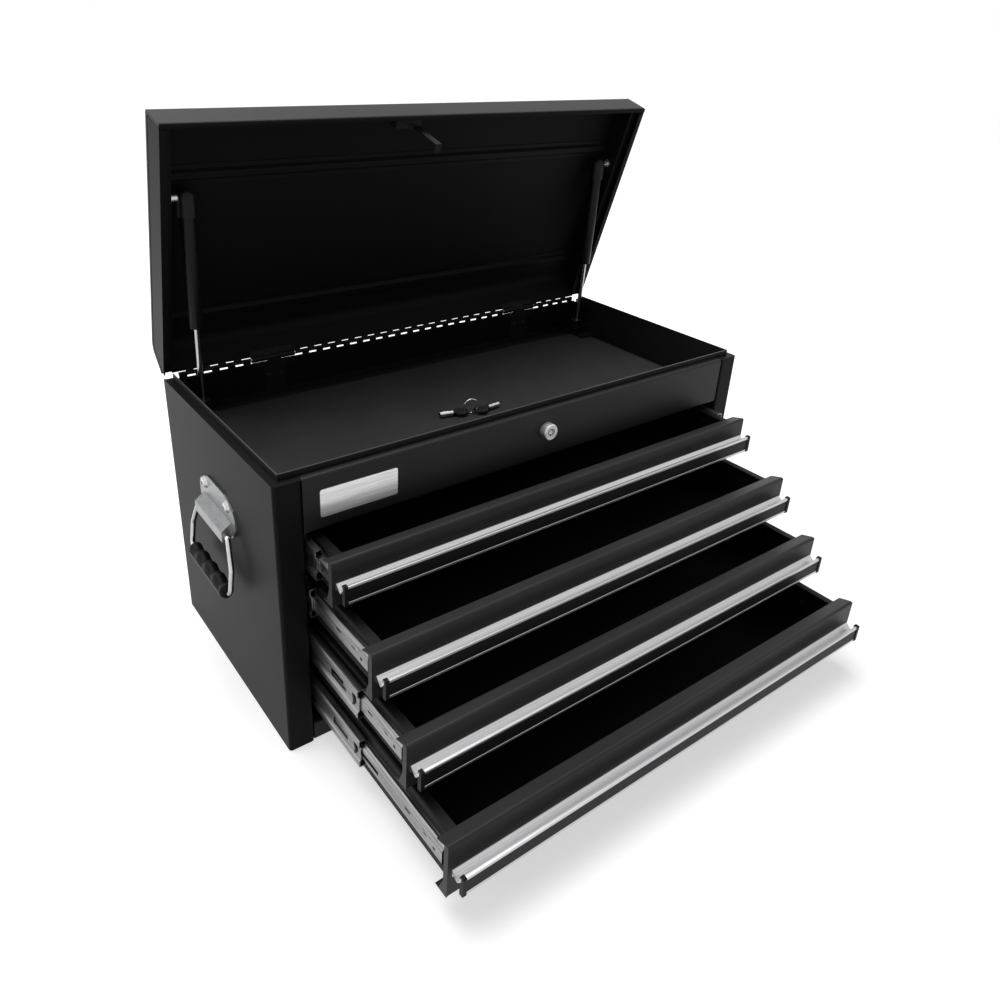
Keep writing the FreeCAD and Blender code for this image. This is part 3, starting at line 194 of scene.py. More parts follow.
coatLook = dict(colour=(0.024, 0.024, 0.0245), rough=0.42, shine=0.16, peelSize=850.0,
                fineness=4.0, peelShare=0.75, peelDepth=0.00005, peelGloss=0.08, cloud=5.0,
                cloudEdge=(0.35, 0.65), cloudTone=(0.90, 1.10), cloudGloss=0.06)


def buildCoat(tree, look):
    # powder coat: a fine orange peel, a finer grain, and slow drifts in tone and gloss
    peel = tree.noise(look["peelSize"], detail=2.0, rough=0.55)
    grain = tree.noise(look["peelSize"] * look["fineness"], detail=1.0)
    drift = tree.noise(look["cloud"], detail=3.0, rough=0.6)
    height = peel * look["peelShare"] + grain * (1 - look["peelShare"])
    return {"Base Color": tree.tones(drift.step(*look["cloudEdge"]), look["colour"],
                                     look["cloudTone"]),
            "Roughness": swing(look["rough"], (peel, look["peelGloss"]),
                               (drift, look["cloudGloss"])),
            "Normal": tree.bump(height, look["peelDepth"])}


# painted light and painted shade: the lid's outer coat is a slightly lighter copy of the black
# coat, and its inside is darkened
lidLook = dict(coatLook, colour=(0.026, 0.026, 0.0265), shine=0.09, paintedShadeTone=0.12, deepRough=0.25,
               open=1.272345, hinge=(0.1515, 0.3235), front=-0.3009, top=0.0361, end=0.3294,
               lean=0.49145, wall=0.0007)


def buildLid(tree, look):
    # the lid's coat, with a painted shade darkening its inside: the open lid's points are turned
    # back round the hinge to where they lie when it is shut, and held against its front, top,
    # sloped back and two ends
    sockets = buildCoat(tree, look)
    shut = tree.split(tree.place(turn=(look["open"], 0, 0)), "Y")
    c, s = math.cos(look["open"]), math.sin(look["open"])
    y0, z0 = look["hinge"]
    y = shut - (y0 * c - z0 * s)
    z = shut.also("Z") - (y0 * s + z0 * c)
    past = y * math.cos(look["lean"]) + z * math.sin(look["lean"])
    inside = (y > look["front"]) * (z < look["top"]) * (past < look["wall"])
    inside = inside * (abs(tree.axis("X")) < look["end"])
    # painted shade: the colour inside the lid is darkened to a fraction of the coat's colour
    sockets["Base Color"] = tree.mix(inside, sockets["Base Color"],
                                     shade(look["colour"], look["paintedShadeTone"]))
    sockets["Roughness"] = sockets["Roughness"] + inside * look["deepRough"]
    return sockets


# painted shade: a darker copy of the black coat for drawer insides, the tray, hinge leaves,
# striker, strut brackets and hinge rivets
insideShadeLook = dict(coatLook, colour=(0.012, 0.012, 0.0124), rough=0.52, shine=0.10)
# lip is the colour of the painted highlight along the top of the tray lip
trayLook = dict(insideShadeLook, lip=(0.10, 0.10, 0.101), lipLow=0.3283, lipSoft=0.0005,
                lipPolish=0.16)


def buildTray(tree, look):
    # the tray's coat, with a painted highlight: a brighter tone along the top of its lip, which
    # is also glossier there
    sockets = buildCoat(tree, look)
    paintedLipHighlight = tree.axis("Z").step(look["lipLow"], look["lipLow"] + look["lipSoft"])
    # painted highlight along the top of the lip
    sockets["Base Color"] = tree.mix(paintedLipHighlight, sockets["Base Color"], look["lip"])
    sockets["Roughness"] = sockets["Roughness"] - paintedLipHighlight * look["lipPolish"]
    return sockets


zincLook = dict(colour=(0.60, 0.60, 0.59), rough=0.30, metal=1.0, spangle=500.0,
                spangleShare=0.3, streak=60.0, patch=24.0, edge=(0.25, 0.75), tone=(0.80, 1.0),
                streakGloss=0.10, patchGloss=0.12, depth=0.00001)


def buildZinc(tree, look):
    # plated sheet: faint spangle, soft streaks and finger-dulled patches
    spangle = tree.add("ShaderNodeSeparateColor", {},
                       {0: tree.cells(look["spangle"], out="Color")}, 0)
    streak = tree.noise(look["streak"], detail=4.0, rough=0.6)
    patch = tree.noise(look["patch"])
    level = spangle * look["spangleShare"] + streak * (1 - look["spangleShare"])
    return {"Base Color": tree.tones(level.step(*look["edge"]), look["colour"], look["tone"]),
            "Roughness": swing(look["rough"], (streak, look["streakGloss"]),
                               (patch, look["patchGloss"])),
            "Normal": tree.bump(streak, look["depth"])}


rolledLook = dict(colour=(0.36, 0.36, 0.355), rough=0.34, metal=1.0, lines=(420.0, 9.0, 420.0),
                  lineShare=0.75, patch=38.0, patchStretch=(1.0, 0.3, 1.0), edge=(0.34, 0.66),
                  tone=(0.42, 1.0), lineGloss=0.10, patchGloss=0.16, depth=0.00002)


def buildRolled(tree, look):
    # slide steel: plated sheet drawn out along the slide, with lines from the rolls
    drawn = tree.noise(1.0, rough=0.7, stretch=look["lines"])
    patch = tree.noise(look["patch"], rough=0.6, stretch=look["patchStretch"])
    level = drawn * look["lineShare"] + patch * (1 - look["lineShare"])
    return {"Base Color": tree.tones(level.step(*look["edge"]), look["colour"], look["tone"]),
            "Roughness": swing(look["rough"], (drawn, look["lineGloss"]),
                               (patch, look["patchGloss"])),
            "Normal": tree.bump(drawn, look["depth"])}


raceLook = dict(rolledLook, rough=0.32, race=(0.2893, 0.2916), raceSoft=0.0003,
                grease=(0.05, 0.05, 0.05), greaseFilm=0.6)


def buildRace(tree, look):
    # drawer members: rolled steel, with the greased ball race dark along the flange
    sockets = buildRolled(tree, look)
    aside, soft = abs(tree.axis("X")), look["raceSoft"]
    low, high = look["race"]
    dark = aside.step(low, low + soft) * (1 - aside.step(high, high + soft))
    sockets["Base Color"] = tree.mix(dark, sockets["Base Color"], look["grease"])
    sockets["Metallic"] = 1 - dark * look["greaseFilm"]
    return sockets


brushedLook = dict(colour=(0.62, 0.62, 0.63), rough=0.33, metal=1.0, along=(6.0, 2600.0, 2600.0),
                   broad=0.22, fineShare=0.6, edge=(0.3, 0.7), tone=(0.70, 1.0), lineGloss=0.16,
                   depth=0.00002)
badgeLook = dict(brushedLook, colour=(0.82, 0.82, 0.83), rough=0.30, along=(30.0, 2600.0, 900.0),
                 depth=0.00001)


def buildBrushed(tree, look):
    # brushed extrusion: very long fine lines along the piece
    fine = tree.noise(1.0, rough=0.7, stretch=look["along"])
    broad = tree.noise(look["broad"], detail=2.0, stretch=look["along"])
    lines = fine * look["fineShare"] + broad * (1 - look["fineShare"])
    return {"Base Color": tree.tones(lines.step(*look["edge"]), look["colour"], look["tone"]),
            "Roughness": swing(look["rough"], (lines, look["lineGloss"])),
            "Normal": tree.bump(lines, look["depth"])}


plasticLook = dict(colour=(0.006, 0.006, 0.006), rough=0.46, shine=0.12, grain=1800.0,
                   broad=0.05, tone=(0.8, 1.2), grainGloss=0.10, depth=0.00005)


def buildPlastic(tree, look):
    # moulded plastic: fine leathery grain over a slow waviness
    grain = tree.noise(look["grain"], rough=0.6)
    broad = tree.noise(look["grain"] * look["broad"], detail=2.0)
    return {"Base Color": tree.tones(broad, look["colour"], look["tone"]),
            "Roughness": swing(look["rough"], (grain, look["grainGloss"])),
            "Normal": tree.bump(grain, look["depth"])}


matLook = dict(colour=(0.031, 0.031, 0.032), rough=0.82, shine=0.2, grain=1400.0, coarse=0.4,
               cellShare=0.6, scuff=7.0, edge=(0.3, 0.7), tone=(0.86, 1.16), grainGloss=0.10,
               depth=0.00018)


def buildMat(tree, look):
    # rolled rubber mat: leathery cells, a fine grain between them and scuffed drifts
    cells = tree.cells(look["grain"] * look["coarse"], "SMOOTH_F1")
    grain = tree.noise(look["grain"], rough=0.6)
    scuff = tree.noise(look["scuff"], detail=4.0, rough=0.65)
    height = cells * look["cellShare"] + grain * (1 - look["cellShare"])
    return {"Base Color": tree.tones(scuff.step(*look["edge"]), look["colour"], look["tone"]),
            "Roughness": swing(look["rough"], (grain, look["grainGloss"])),
            "Normal": tree.bump(height, look["depth"])}


chromeLook = dict(colour=(0.60, 0.60, 0.61), rough=0.16, metal=1.0, smear=90.0,
                  along=(1.0, 1.0, 0.4), edge=(0.4, 0.7), tone=(1.0, 0.82), dullEdge=(0.45, 0.8),
                  dull=0.10, paintedReflectionDim=0.22, dimBelow=-0.75, brightAbove=0.55)
lockChromeLook = dict(chromeLook, colour=(0.84, 0.84, 0.85), rough=0.30, metal=0.6, paintedReflectionDim=0.30)


def buildChrome(tree, look):
    # bright plating with faint smears, and a painted reflection: dimmer colour on the faces that
    # look down at dark steel
    smear = tree.noise(look["smear"], detail=4.0, rough=0.6, stretch=look["along"])
    lit = tree.tones(smear.step(*look["edge"]), look["colour"], look["tone"])
    # painted reflection: the colour is dimmed on faces that look down and full on faces that
    # look up
    colour = tree.mix(tree.upward(look["dimBelow"], look["brightAbove"]),
                      shade(look["colour"], look["paintedReflectionDim"]), lit)
    return {"Base Color": colour,
            "Roughness": smear.step(*look["dullEdge"]) * look["dull"] + look["rough"]}


keyLook = dict(colour=(0.012, 0.012, 0.012), rough=0.18, shine=0.4, steel=(0.62, 0.62, 0.61),
               bows=((-0.031, -0.0285, 0.2789), (-0.0059, -0.0363, 0.2789)), bowReach=0.0122,
               bowSoft=0.0003, bowTop=0.0017, topSoft=0.0001, bowRough=0.18, grain=1500.0,
               scratch=260.0, edge=(0.35, 0.7), tone=(1.0, 0.7), scratchRough=0.14,
               depth=0.00003)


def buildKeys(tree, look):
    # black moulded bows; bright steel beyond them and above them, for barrels and ring
    reach, soft = look["bowReach"], look["bowSoft"]
    bows = [tree.near(spot, reach - soft, reach + soft) for spot in look["bows"]]
    top, soft = look["bows"][0][2] + look["bowTop"], look["topSoft"]
    plastic = (bows[0] + bows[1]).clamp() * (1 - tree.axis("Z").step(top - soft, top + soft))
    scratch = tree.noise(look["scratch"], rough=0.6)
    steel = tree.tones(scratch.step(*look["edge"]), look["steel"], look["tone"])
    return {"Base Color": tree.mix(plastic, steel, look["colour"]), "Metallic": 1 - plastic,
            "Roughness": (plastic * look["bowRough"]
                          + (scratch * look["scratchRough"] + look["rough"])),
            "Normal": tree.bump(tree.noise(look["grain"], detail=2.0), look["depth"])}


strutLook = dict(colour=(0.008, 0.008, 0.009), rough=0.34, shine=0.15, steel=(0.55, 0.55, 0.54),
                 studInner=0.3055, studSoft=0.0002, grain=1500.0, grainRough=0.10, depth=0.00004)


def buildSocket(tree, look):
    # moulded socket; past its side the steel ball stud shows bright
    grain = tree.noise(look["grain"], detail=2.0, rough=0.6)
    stud = abs(tree.axis("X")).step(look["studInner"] - look["studSoft"],
                                    look["studInner"] + look["studSoft"])
    return {"Base Color": tree.mix(stud, look["colour"], look["steel"]), "Metallic": stud,
            "Roughness": grain * look["grainRough"] + look["rough"],
            "Normal": tree.bump(grain, look["depth"])}


finishes = {
    "coat": finish("powderCoat", coatLook, buildCoat),
    # painted shade: a darker copy of the black coat for the side panels, back panel and lid end
    # panels
    "coatShadedSide": finish("powderCoatPaintedShadeSide", dict(coatLook, colour=(0.012, 0.012, 0.0123),
                                              shine=0.045), buildCoat),
    # painted light: a lighter copy of the black coat for the drawer fronts
    "coatLitFront": finish("powderCoatPaintedLightFront", dict(coatLook, colour=(0.031, 0.031, 0.0315)),
                        buildCoat),
    "lid": finish("powderCoatLid", lidLook, buildLid),
    "coatShadedInside": finish("powderCoatPaintedShadeInside", insideShadeLook, buildCoat),
    "tray": finish("powderCoatTray", trayLook, buildTray),
    # painted shade: the darkest copy of the black coat, for the slide carriers and lid rails
    # deep inside
    "coatShadedDeep": finish("powderCoatPaintedShadeDeep", dict(coatLook, colour=(0.008, 0.008, 0.0083),
                                              rough=0.55, shine=0.07), buildCoat),
    "slideSteel": finish("slideSteel", rolledLook, buildRolled),
    "raceSteel": finish("raceSteel", raceLook, buildRace),
    "zinc": finish("zincSheet", zincLook, buildZinc),
    "satinZinc": finish("satinZinc", dict(zincLook, colour=(0.30, 0.305, 0.31), rough=0.36,
                                          spangle=300.0, depth=0.00003), buildZinc),
    "brushed": finish("brushedAluminium", brushedLook, buildBrushed),
    "badge": finish("badgeAluminium", badgeLook, buildBrushed),
    "chrome": finish("chromePlate", chromeLook, buildChrome),
    "lockChrome": finish("lockChrome", lockChromeLook, buildChrome),
    "enamel": finish("blackEnamel", dict(coatLook, colour=(0.008, 0.008, 0.009), rough=0.30,
                                         shine=0.12, peelSize=500.0, peelDepth=0.00003,
                                         cloud=30.0), buildCoat),
    "plastic": finish("blackPlastic", plasticLook, buildPlastic),
    "socket": finish("socketPlastic", strutLook, buildSocket),
    "keys": finish("keySet", keyLook, buildKeys),
    "rubber": finish("matRubber", matLook, buildMat),
}
levels = range(1, 5)
nodeFinish = {
    "coat": ["bottom_panel", "header_panel"],
    "coatLitFront": [f"drawer_front_{n}" for n in levels],
    "lid": ["lid_shell"],
    "coatShadedSide": ["side_panel_left", "side_panel_right", "back_panel", "lid_end_panels"],
    "tray": ["tray"],
    "coatShadedInside": ["hinge_leaves_body", "piano_leaf_lid", "butt_leaves_lid",
                   "lock_striker", "strut_brackets"] + [f"drawer_box_{n}" for n in levels],
    "coatShadedDeep": ["slide_carriers", "lid_rails"],
    "raceSteel": [f"drawer_members_{n}" for n in levels],
    "slideSteel": ["cabinet_members"] + [f"middle_members_{n}" for n in levels],
    "zinc": ["hinge_pins"],
    "satinZinc": ["handle_plates"],
    "brushed": [f"drawer_pull_{n}" for n in levels],
    "badge": ["badge_plate"],
    "lockChrome": ["lock_housing", "lock_core"],
    "chrome": ["handle_bolts", "strut_rod_left", "strut_rod_right",
               "bail_left", "bail_right"],
    "enamel": ["strut_tube_left", "strut_tube_right"],
    "socket": ["strut_foot_socket_left", "strut_foot_socket_right", "strut_head_socket_left",
               "strut_head_socket_right"],
    "plastic": ["bail_grip_left", "bail_grip_right"] + [f"pull_trims_{n}" for n in levels],
    "keys": ["keys"],
    "rubber": ["tray_mat"],
}
for finishName, names in nodeFinish.items():
    for name in names:
        slots = nodes[name].data.materials
        if len(slots) == 0:
            slots.append(finishes[finishName])
        for i in range(len(slots)):
            slots[i] = finishes[finishName]
print("finishes on", sum(len(names) for names in nodeFinish.values()), "nodes")


meshLook = dict(weld=1e-6, crease=35.0)


def surface(name, rows, look, body):
    # one piece from a stack of closed rings: faces join each ring to the next, all the way
    # round; a ring shrunk to a point becomes a pole
    rings, count = rows.shape[:2]
    i = np.arange(rings - 1)[:, None]
    j = np.arange(count)[None, :]
    after = (j + 1) % count
    faces = np.stack([i * count + j, i * count + after, (i + 1) * count + after,
                      (i + 1) * count + j], axis=-1).reshape(-1, 4)
    mesh = bpy.data.meshes.new(name)
    mesh.from_pydata(rows.reshape(-1, 3).tolist(), [], faces.tolist())
    shape = bmesh.new()
    shape.from_mesh(mesh)
    bmesh.ops.remove_doubles(shape, verts=shape.verts, dist=meshLook["weld"])
    bmesh.ops.recalc_face_normals(shape, faces=shape.faces)
    shape.to_mesh(mesh)
    shape.free()
    mesh.shade_smooth()
    mesh.set_sharp_from_angle(angle=math.radians(meshLook["crease"]))
    mesh.materials.append(finishes[look])
    piece = bpy.data.objects.new(name, mesh)
    scene.collection.objects.link(piece)
    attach(piece, body)
    return piece


def turnedRings(profile, start, axis, count):
    # lathe: each (radius, height) of the profile becomes a circle round the axis, drawn out
    # along two directions square to it
    profile = np.asarray(profile, float)
    axis = np.asarray(axis, float) / np.linalg.norm(axis)
    upright = abs(axis[2]) > 0.9
    side = np.cross(axis, (1.0, 0.0, 0.0) if upright else (0.0, 0.0, 1.0))
    side /= np.linalg.norm(side)
    other = np.cross(axis, side)
    angle = np.linspace(0, 2 * np.pi, count, endpoint=False)
    circle = np.cos(angle)[:, None] * side + np.sin(angle)[:, None] * other
    return (np.asarray(start) + profile[:, None, 1:] * axis
            + profile[:, None, :1] * circle[None])


def oval(length, height, power, count):
    # superellipse outline: |u / a|^p + |v / b|^p = 1
    angle = np.linspace(0, 2 * np.pi, count, endpoint=False)
    c, s = np.cos(angle), np.sin(angle)
    return np.stack([np.sign(c) * np.abs(c) ** (2 / power) * length / 2,
                     np.sign(s) * np.abs(s) ** (2 / power) * height / 2], axis=1)


def halfMoon(length, height, fullness, hollow, count):
    # crescent outline: u = a * cos(t)^fullness on the bulging side and hollow * a * cos(t) on
    # the other, against v = b * sin(t)
    turn = np.linspace(-np.pi / 2, np.pi / 2, count // 2, endpoint=False)
    out = np.stack([length * np.cos(turn) ** fullness, height / 2 * np.sin(turn)], axis=1)
    back = np.stack([hollow * length * np.cos(turn), -height / 2 * np.sin(turn)], axis=1)
    return np.concatenate([out, back])


def plateRings(outline, thick, edge, steps=5):
    # plate from a flat outline: rings stacked through the thickness, each drawn in towards the
    # middle by edge * (1 - sin t) over a quarter-round, with a point in each face's middle
    size = np.ptp(outline, axis=0)
    centre = outline.mean(axis=0)
    turn = np.linspace(0, np.pi / 2, steps)
    inset = np.concatenate([edge * (1 - np.sin(turn)), edge * (1 - np.sin(turn[::-1]))])
    level = np.concatenate([edge * (1 - np.cos(turn)), thick - edge * (1 - np.cos(turn[::-1]))])
    share = 1 - 2 * inset[:, None, None] / size
    flat = centre + (outline - centre)[None] * share
    count = len(outline)
    rings = np.concatenate([flat, np.broadcast_to(level[:, None, None], (len(level), count, 1))],
                           axis=2)
    poles = np.zeros((2, count, 3))
    poles[:, :, :2] = centre
    poles[1, :, 2] = thick
    return np.concatenate([poles[:1], rings, poles[1:]])


def placed(rings, spot, right, up, out):
    # local (u, v, w) set along three directions from a spot
    return np.asarray(spot) + rings @ np.array([right, up, out], float)


sides = {"left": -1.0, "right": 1.0}
gripLook = dict(radius=0.0081, waves=4, waveDepth=0.0040, waveSpread=0.8, belly=0.0016,
                endRound=0.0030, seam=0.00025, seamWidth=0.05, pivotRise=0.2125,
                pivotOut=0.3385, stations=121, roundSteps=9, facets=64)


def addGrip(side):
    # moulded grip along Y: radius = R + belly * cos(a)^2 - depth * (1 - cos(2 pi n t)) / 2
    # * max(0, cos a)^spread, with a from the bail's pivot side, so that the waves lie there
    # alone; the ends close over a quarter-round and a flat disc, and a fine seam runs round
    low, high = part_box(f"bail_grip_{side}")
    middle = (np.array(low) + np.array(high)) / 2
    half = (high[1] - low[1]) / 2
    toPivot = np.array([sides[side] * gripLook["pivotOut"], 0.0, gripLook["pivotRise"]]) - middle
    toPivot[1] = 0.0
    toPivot /= np.linalg.norm(toPivot)
    across = np.cross(toPivot, (0.0, 1.0, 0.0))
    edge = gripLook["endRound"]
    turn = np.linspace(0, np.pi / 2, gripLook["roundSteps"])
    straight = np.linspace(-half + edge, half - edge, gripLook["stations"])[1:-1]
    run = np.concatenate([-half + edge * (1 - np.sin(turn[::-1])), straight,
                          half - edge * (1 - np.sin(turn))])
    shrink = np.concatenate([edge * (1 - np.cos(turn[::-1])), np.zeros(len(straight)),
                             edge * (1 - np.cos(turn))])
    angle = np.linspace(0, 2 * np.pi, gripLook["facets"], endpoint=False)
    t = (run + half) / (2 * half)
    wave = (1 - np.cos(2 * np.pi * gripLook["waves"] * t)) / 2
    facing = np.maximum(np.cos(angle), 0.0) ** gripLook["waveSpread"]
    belly = gripLook["belly"] * np.cos(angle) ** 2
    seam = gripLook["seam"] * np.exp(-(np.cos(angle) / gripLook["seamWidth"]) ** 2)
    radius = (gripLook["radius"] - gripLook["waveDepth"] * wave[:, None] * facing[None]
              + (seam + belly)[None] - shrink[:, None])
    pole = np.zeros((1, gripLook["facets"]))
    radius = np.concatenate([pole, radius, pole])
    run = np.concatenate([run[:1], run, run[-1:]])
    ring = np.cos(angle)[:, None] * toPivot + np.sin(angle)[:, None] * across
    rows = middle + radius[:, :, None] * ring[None] + run[:, None, None] * np.array([0, 1.0, 0])
    piece = surface(f"moulded_grip_{side}", rows, "plastic", f"bail_{side}")
    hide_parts(f"bail_grip_{side}")


for side in sides:
    addGrip(side)
print("grips made")


leverLook = dict(length=0.0052, height=0.0136, fullness=0.8, hollow=0.28, thick=0.0015,
                 edge=0.0003, recess=0.0020, sunk=0.0003, setback=0.0118, facets=48)


def addLever(n, side):
    # half-moon release lever in the notch of a middle member's web
    low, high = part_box(f"middle_members_{n}")
    sign = sides[side]
    outline = halfMoon(leverLook["length"], leverLook["height"], leverLook["fullness"],
                       leverLook["hollow"], leverLook["facets"])
    spot = (sign * (high[0] - leverLook["recess"] - leverLook["sunk"]),
            low[1] + leverLook["setback"], (low[2] + high[2]) / 2)
    rows = placed(plateRings(outline, leverLook["thick"], leverLook["edge"]), spot,
                  (0, -1, 0), (0, 0, 1), (sign, 0, 0))
    surface(f"slide_lever_{n}_{side}", rows, "plastic", f"middle_{n}")


stampLook = dict(thick=0.0009, edge=0.0002, facets=40,
                 marks=((0.0250, 0.0030, 0.0150, 0.0046, 2.3, 0.00030, "slideSteel"),
                        (0.0255, 0.0030, 0.0070, 0.0018, 2.2, 0.00035, "plastic"),
                        (0.0545, 0.0031, 0.0100, 0.0030, 2.6, 0.00005, "plastic"),
                        (0.0120, -0.0010, 0.0040, 0.0040, 2.0, 0.00005, "plastic")))


def addStamps(n, side):
    # stamped tab, its slot, a longer slot and a hole on a drawer member's web: (from its front
    # end, over its middle, length, height, power of the outline, how proud it stands, finish)
    low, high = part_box(f"drawer_members_{n}")
    sign = sides[side]
    for i, (back, up, length, height, power, proud, look) in enumerate(stampLook["marks"]):
        outline = oval(length, height, power, stampLook["facets"])
        spot = (sign * (high[0] - stampLook["thick"] + proud), low[1] + back,
                (low[2] + high[2]) / 2 + up)
        rows = placed(plateRings(outline, stampLook["thick"], stampLook["edge"]), spot,
                      (0, 1, 0), (0, 0, 1), (sign, 0, 0))
        surface(f"slide_stamp_{n}_{side}_{i}", rows, look, f"drawer_{n}")


for side in sides:
    for n in levels:
        addLever(n, side)
        addStamps(n, side)
print("slide levers and stampings made")


lockLook = dict(coreBack=0.0012, inner=0.00275, outer=0.00395, sunk=0.0008, depth=0.0026,
                ringFacets=64, pins=7, pinRing=0.00335, pinRadius=0.00042, pinFoot=0.0010,
                pinSteps=6, pinFacets=16, lip=0.0007, lipRing=0.0081, lipSet=0.0006,
                lipSteps=17, lipFacets=96)


def addLockFace():
    # painted shade: a dark ring filling the key slot, with a circle of small bright domed pins,
    # and a rounded lip on the collar's front: a torus, (radius, height) = (R + r cos t, h + r
    # sin t)
    low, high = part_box("lock_housing")
    inwards = (0, 1, 0)
    spot = np.array([(low[0] + high[0]) / 2, low[1], (low[2] + high[2]) / 2])
    start = spot + (0, lockLook["coreBack"], 0)
    near, far = lockLook["sunk"], lockLook["sunk"] + lockLook["depth"]
    inner, outer = lockLook["inner"], lockLook["outer"]
    ring = [(inner, near), (outer, near), (outer, far), (inner, far), (inner, near)]
    # painted shade: a black ring set in the annular key slot, where there is only shade
    surface("lock_slot_shade", turnedRings(ring, start, inwards, lockLook["ringFacets"]), "plastic",
            "lock")
    dome = np.linspace(0, np.pi / 2, lockLook["pinSteps"])
    radius, foot = lockLook["pinRadius"], near + lockLook["pinFoot"]
    pin = np.stack([radius * np.sin(dome), near - radius * np.cos(dome)], axis=1)
    pin = np.concatenate([pin, [(radius, foot), (0.0, foot)]])
    for i in range(lockLook["pins"]):
        turn = 2 * math.pi * i / lockLook["pins"]
        at = start + np.array([math.sin(turn), 0, math.cos(turn)]) * lockLook["pinRing"]
        surface(f"lock_pin_{i + 1}", turnedRings(pin, at, inwards, lockLook["pinFacets"]),
                "chrome", "lock")
    turn = np.linspace(0, 2 * np.pi, lockLook["lipSteps"])
    lip = np.stack([lockLook["lipRing"] + lockLook["lip"] * np.cos(turn),
                    lockLook["lipSet"] + lockLook["lip"] * np.sin(turn)], axis=1)
    surface("lock_lip", turnedRings(lip, spot, inwards, lockLook["lipFacets"]), "lockChrome",
            "cabinet")


addLockFace()

boltLook = dict(height=0.243, spread=0.031, face=0.335, radius=0.0050, rise=0.0013,
                socket=0.0021, taper=0.96, depth=0.0009, foot=0.0004, steps=9, facets=48)


def addBoltFace(side, end):
    # domed top of a handle bolt with a shallow round socket:
    # height = rise * (1 - (r / R)^2), dropping into the socket inside its radius
    sign = sides[side]
    rim, socket, foot = boltLook["radius"], boltLook["socket"], -boltLook["foot"]
    radius = np.concatenate([[rim], np.linspace(rim, socket, boltLook["steps"]),
                             [socket * boltLook["taper"], 0.0]])
    height = boltLook["rise"] * (1 - (radius / rim) ** 2)
    height[0] = foot
    height[-2:] = height[-3] - boltLook["depth"]
    profile = np.concatenate([[(0.0, foot)], np.stack([radius, height], axis=1)])
    spot = (sign * boltLook["face"], end * boltLook["spread"], boltLook["height"])
    surface(f"bolt_face_{side}_{'front' if end < 0 else 'back'}",
            turnedRings(profile, spot, (sign, 0, 0), boltLook["facets"]), "chrome", "cabinet")


for side in sides:
    addBoltFace(side, -1)
    addBoltFace(side, 1)

rivetLook = dict(radius=0.0030, rise=0.0011, fullness=0.7, foot=0.0003, spread=0.008,
                 face=0.1476, height=0.3005, hinges=(-0.19305, 0.20295), steps=9, facets=32)


def addHingeRivet(number, x):
    # rivet head on a hinge leaf: height = rise * (1 - (r / R)^2)^fullness, its foot under the
    # leaf's face
    rim, foot = rivetLook["radius"], -rivetLook["foot"]
    radius = np.linspace(rim, 0.0, rivetLook["steps"])
    height = rivetLook["rise"] * (1 - (radius / rim) ** 2) ** rivetLook["fullness"]
    profile = np.concatenate([[(0.0, foot), (rim, foot)], np.stack([radius, height], axis=1)])
    spot = (x, rivetLook["face"], rivetLook["height"])
    surface(f"hinge_rivet_{number}", turnedRings(profile, spot, (0, -1, 0), rivetLook["facets"]),
            "coatShadedInside", "cabinet")


for i, middle in enumerate(rivetLook["hinges"]):
    addHingeRivet(2 * i + 1, middle - rivetLook["spread"])
    addHingeRivet(2 * i + 2, middle + rivetLook["spread"])
print("lock face, bolt faces and hinge rivets made")


room = dict(skyFill=0.10, floorSize=14.0, floorDrop=-0.0005, floorTone=0.72, nearLift=0.60,
            farLift=1.0, nearEdge=0.55, farEdge=1.5)
white = (1, 1, 1)


def seenDirectly(tree):
    # camera, mirror and glass rays see plain white, the light on the object is separate
    rays = [tree.add("ShaderNodeLightPath", {}, {}, ray)
            for ray in ("Is Camera Ray", "Is Glossy Ray", "Is Transmission Ray")]
    return (rays[0] + rays[1] + rays[2]).clamp()


def buildSky():
    # a faint even fill for the object, plain white where it is seen
    world = bpy.data.worlds.new("studio")
    scene.world = world
    tree = Tree(world)
    strength = seenDirectly(tree) * (1.0 - room["skyFill"]) + room["skyFill"]
    sky = tree.add("ShaderNodeBackground", {}, {"Color": white, "Strength": strength})
    tree.add("ShaderNodeOutputWorld", {}, {"Surface": sky})


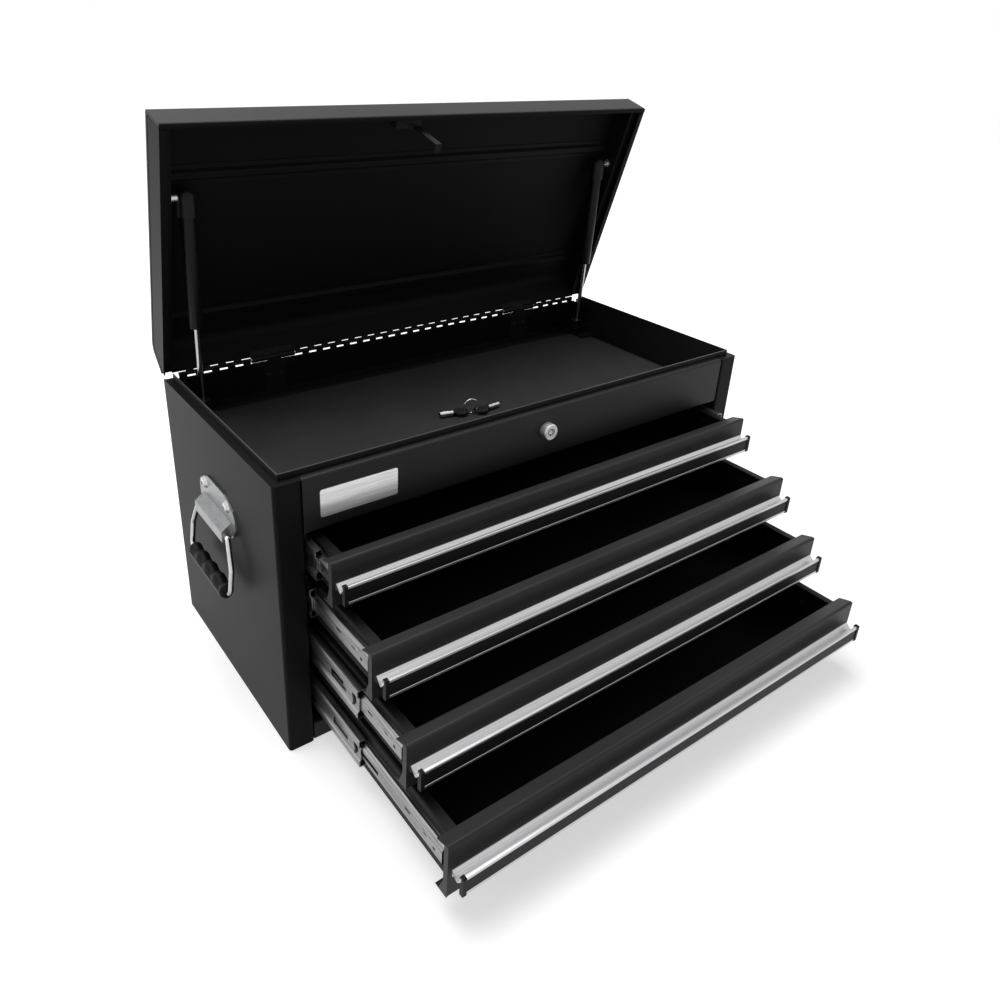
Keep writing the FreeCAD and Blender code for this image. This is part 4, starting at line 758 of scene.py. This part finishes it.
def buildFloor():
    # a square that takes the object's shadow and is lifted to white away from it
    half, drop = room["floorSize"] / 2, room["floorDrop"]
    mesh = bpy.data.meshes.new("floor")
    mesh.from_pydata([(-half, -half, drop), (half, -half, drop), (half, half, drop),
                      (-half, half, drop)], [], [(0, 1, 2, 3)])
    floor = bpy.data.objects.new("floor", mesh)
    scene.collection.objects.link(floor)
    material = bpy.data.materials.new("paleFloor")
    tree = Tree(material)
    matt = tree.add("ShaderNodeBsdfDiffuse", {}, {"Color": (room["floorTone"],) * 3})
    away = tree.add("ShaderNodeVectorMath", {"operation": "LENGTH"}, {0: tree.coords()}, "Value")
    share = away.step(room["nearEdge"], room["farEdge"])
    glow = share * (room["farLift"] - room["nearLift"]) + room["nearLift"]
    lift = tree.add("ShaderNodeEmission", {}, {"Color": white,
                                               "Strength": seenDirectly(tree) * glow})
    both = tree.add("ShaderNodeAddShader", {}, {0: matt, 1: lift})
    tree.add("ShaderNodeOutputMaterial", {}, {"Surface": both})
    mesh.materials.append(material)


buildSky()
buildFloor()

lamps = {
    "topLamp": dict(place=(-0.3, 0.5, 2.6), aim=(0.0, -0.1, 0.2), size=(2.4, 1.8), power=66.0),
    "leftLamp": dict(place=(-2.4, 0.5, 1.1), aim=(0.0, 0.0, 0.2), size=(1.6, 1.6), power=9.0),
}


def softLamp(name, look):
    # rectangular lamp turned so that its face looks at its aim
    lamp = bpy.data.lights.new(name, "AREA")
    lamp.shape = "RECTANGLE"
    lamp.size, lamp.size_y = look["size"]
    lamp.energy = look["power"]
    holder = bpy.data.objects.new(name, lamp)
    scene.collection.objects.link(holder)
    holder.location = look["place"]
    away = Vector(look["aim"]) - Vector(look["place"])
    holder.rotation_euler = away.to_track_quat("-Z", "Y").to_euler()


for name, look in lamps.items():
    softLamp(name, look)

cameraPlace = dict(right=(0.813497, -0.580616, 0.033297), down=(-0.222692, -0.36388, -0.904433),
                   forward=(0.537245, 0.728338, -0.425313), spot=(-0.58333, -0.76841, 0.70133),
                   lens=29.9455, sensor=36.0, shift=(0.04388, -0.07999), nearest=0.01)


def addCamera():
    # a camera looks along its own -Z with +Y up, so the down and forward directions are turned
    camera = bpy.data.cameras.new("camera")
    holder = bpy.data.objects.new("camera", camera)
    scene.collection.objects.link(holder)
    columns = (cameraPlace["right"], shade(cameraPlace["down"], -1),
               shade(cameraPlace["forward"], -1), cameraPlace["spot"])
    holder.matrix_world = Matrix([[column[row] for column in columns] for row in range(3)]
                                 + [[0, 0, 0, 1]])
    camera.lens = cameraPlace["lens"]
    camera.sensor_width = cameraPlace["sensor"]
    camera.shift_x, camera.shift_y = cameraPlace["shift"]
    camera.clip_start = cameraPlace["nearest"]
    scene.camera = holder


addCamera()
scene.view_settings.view_transform = "Standard"
print("room, lamps and camera placed")
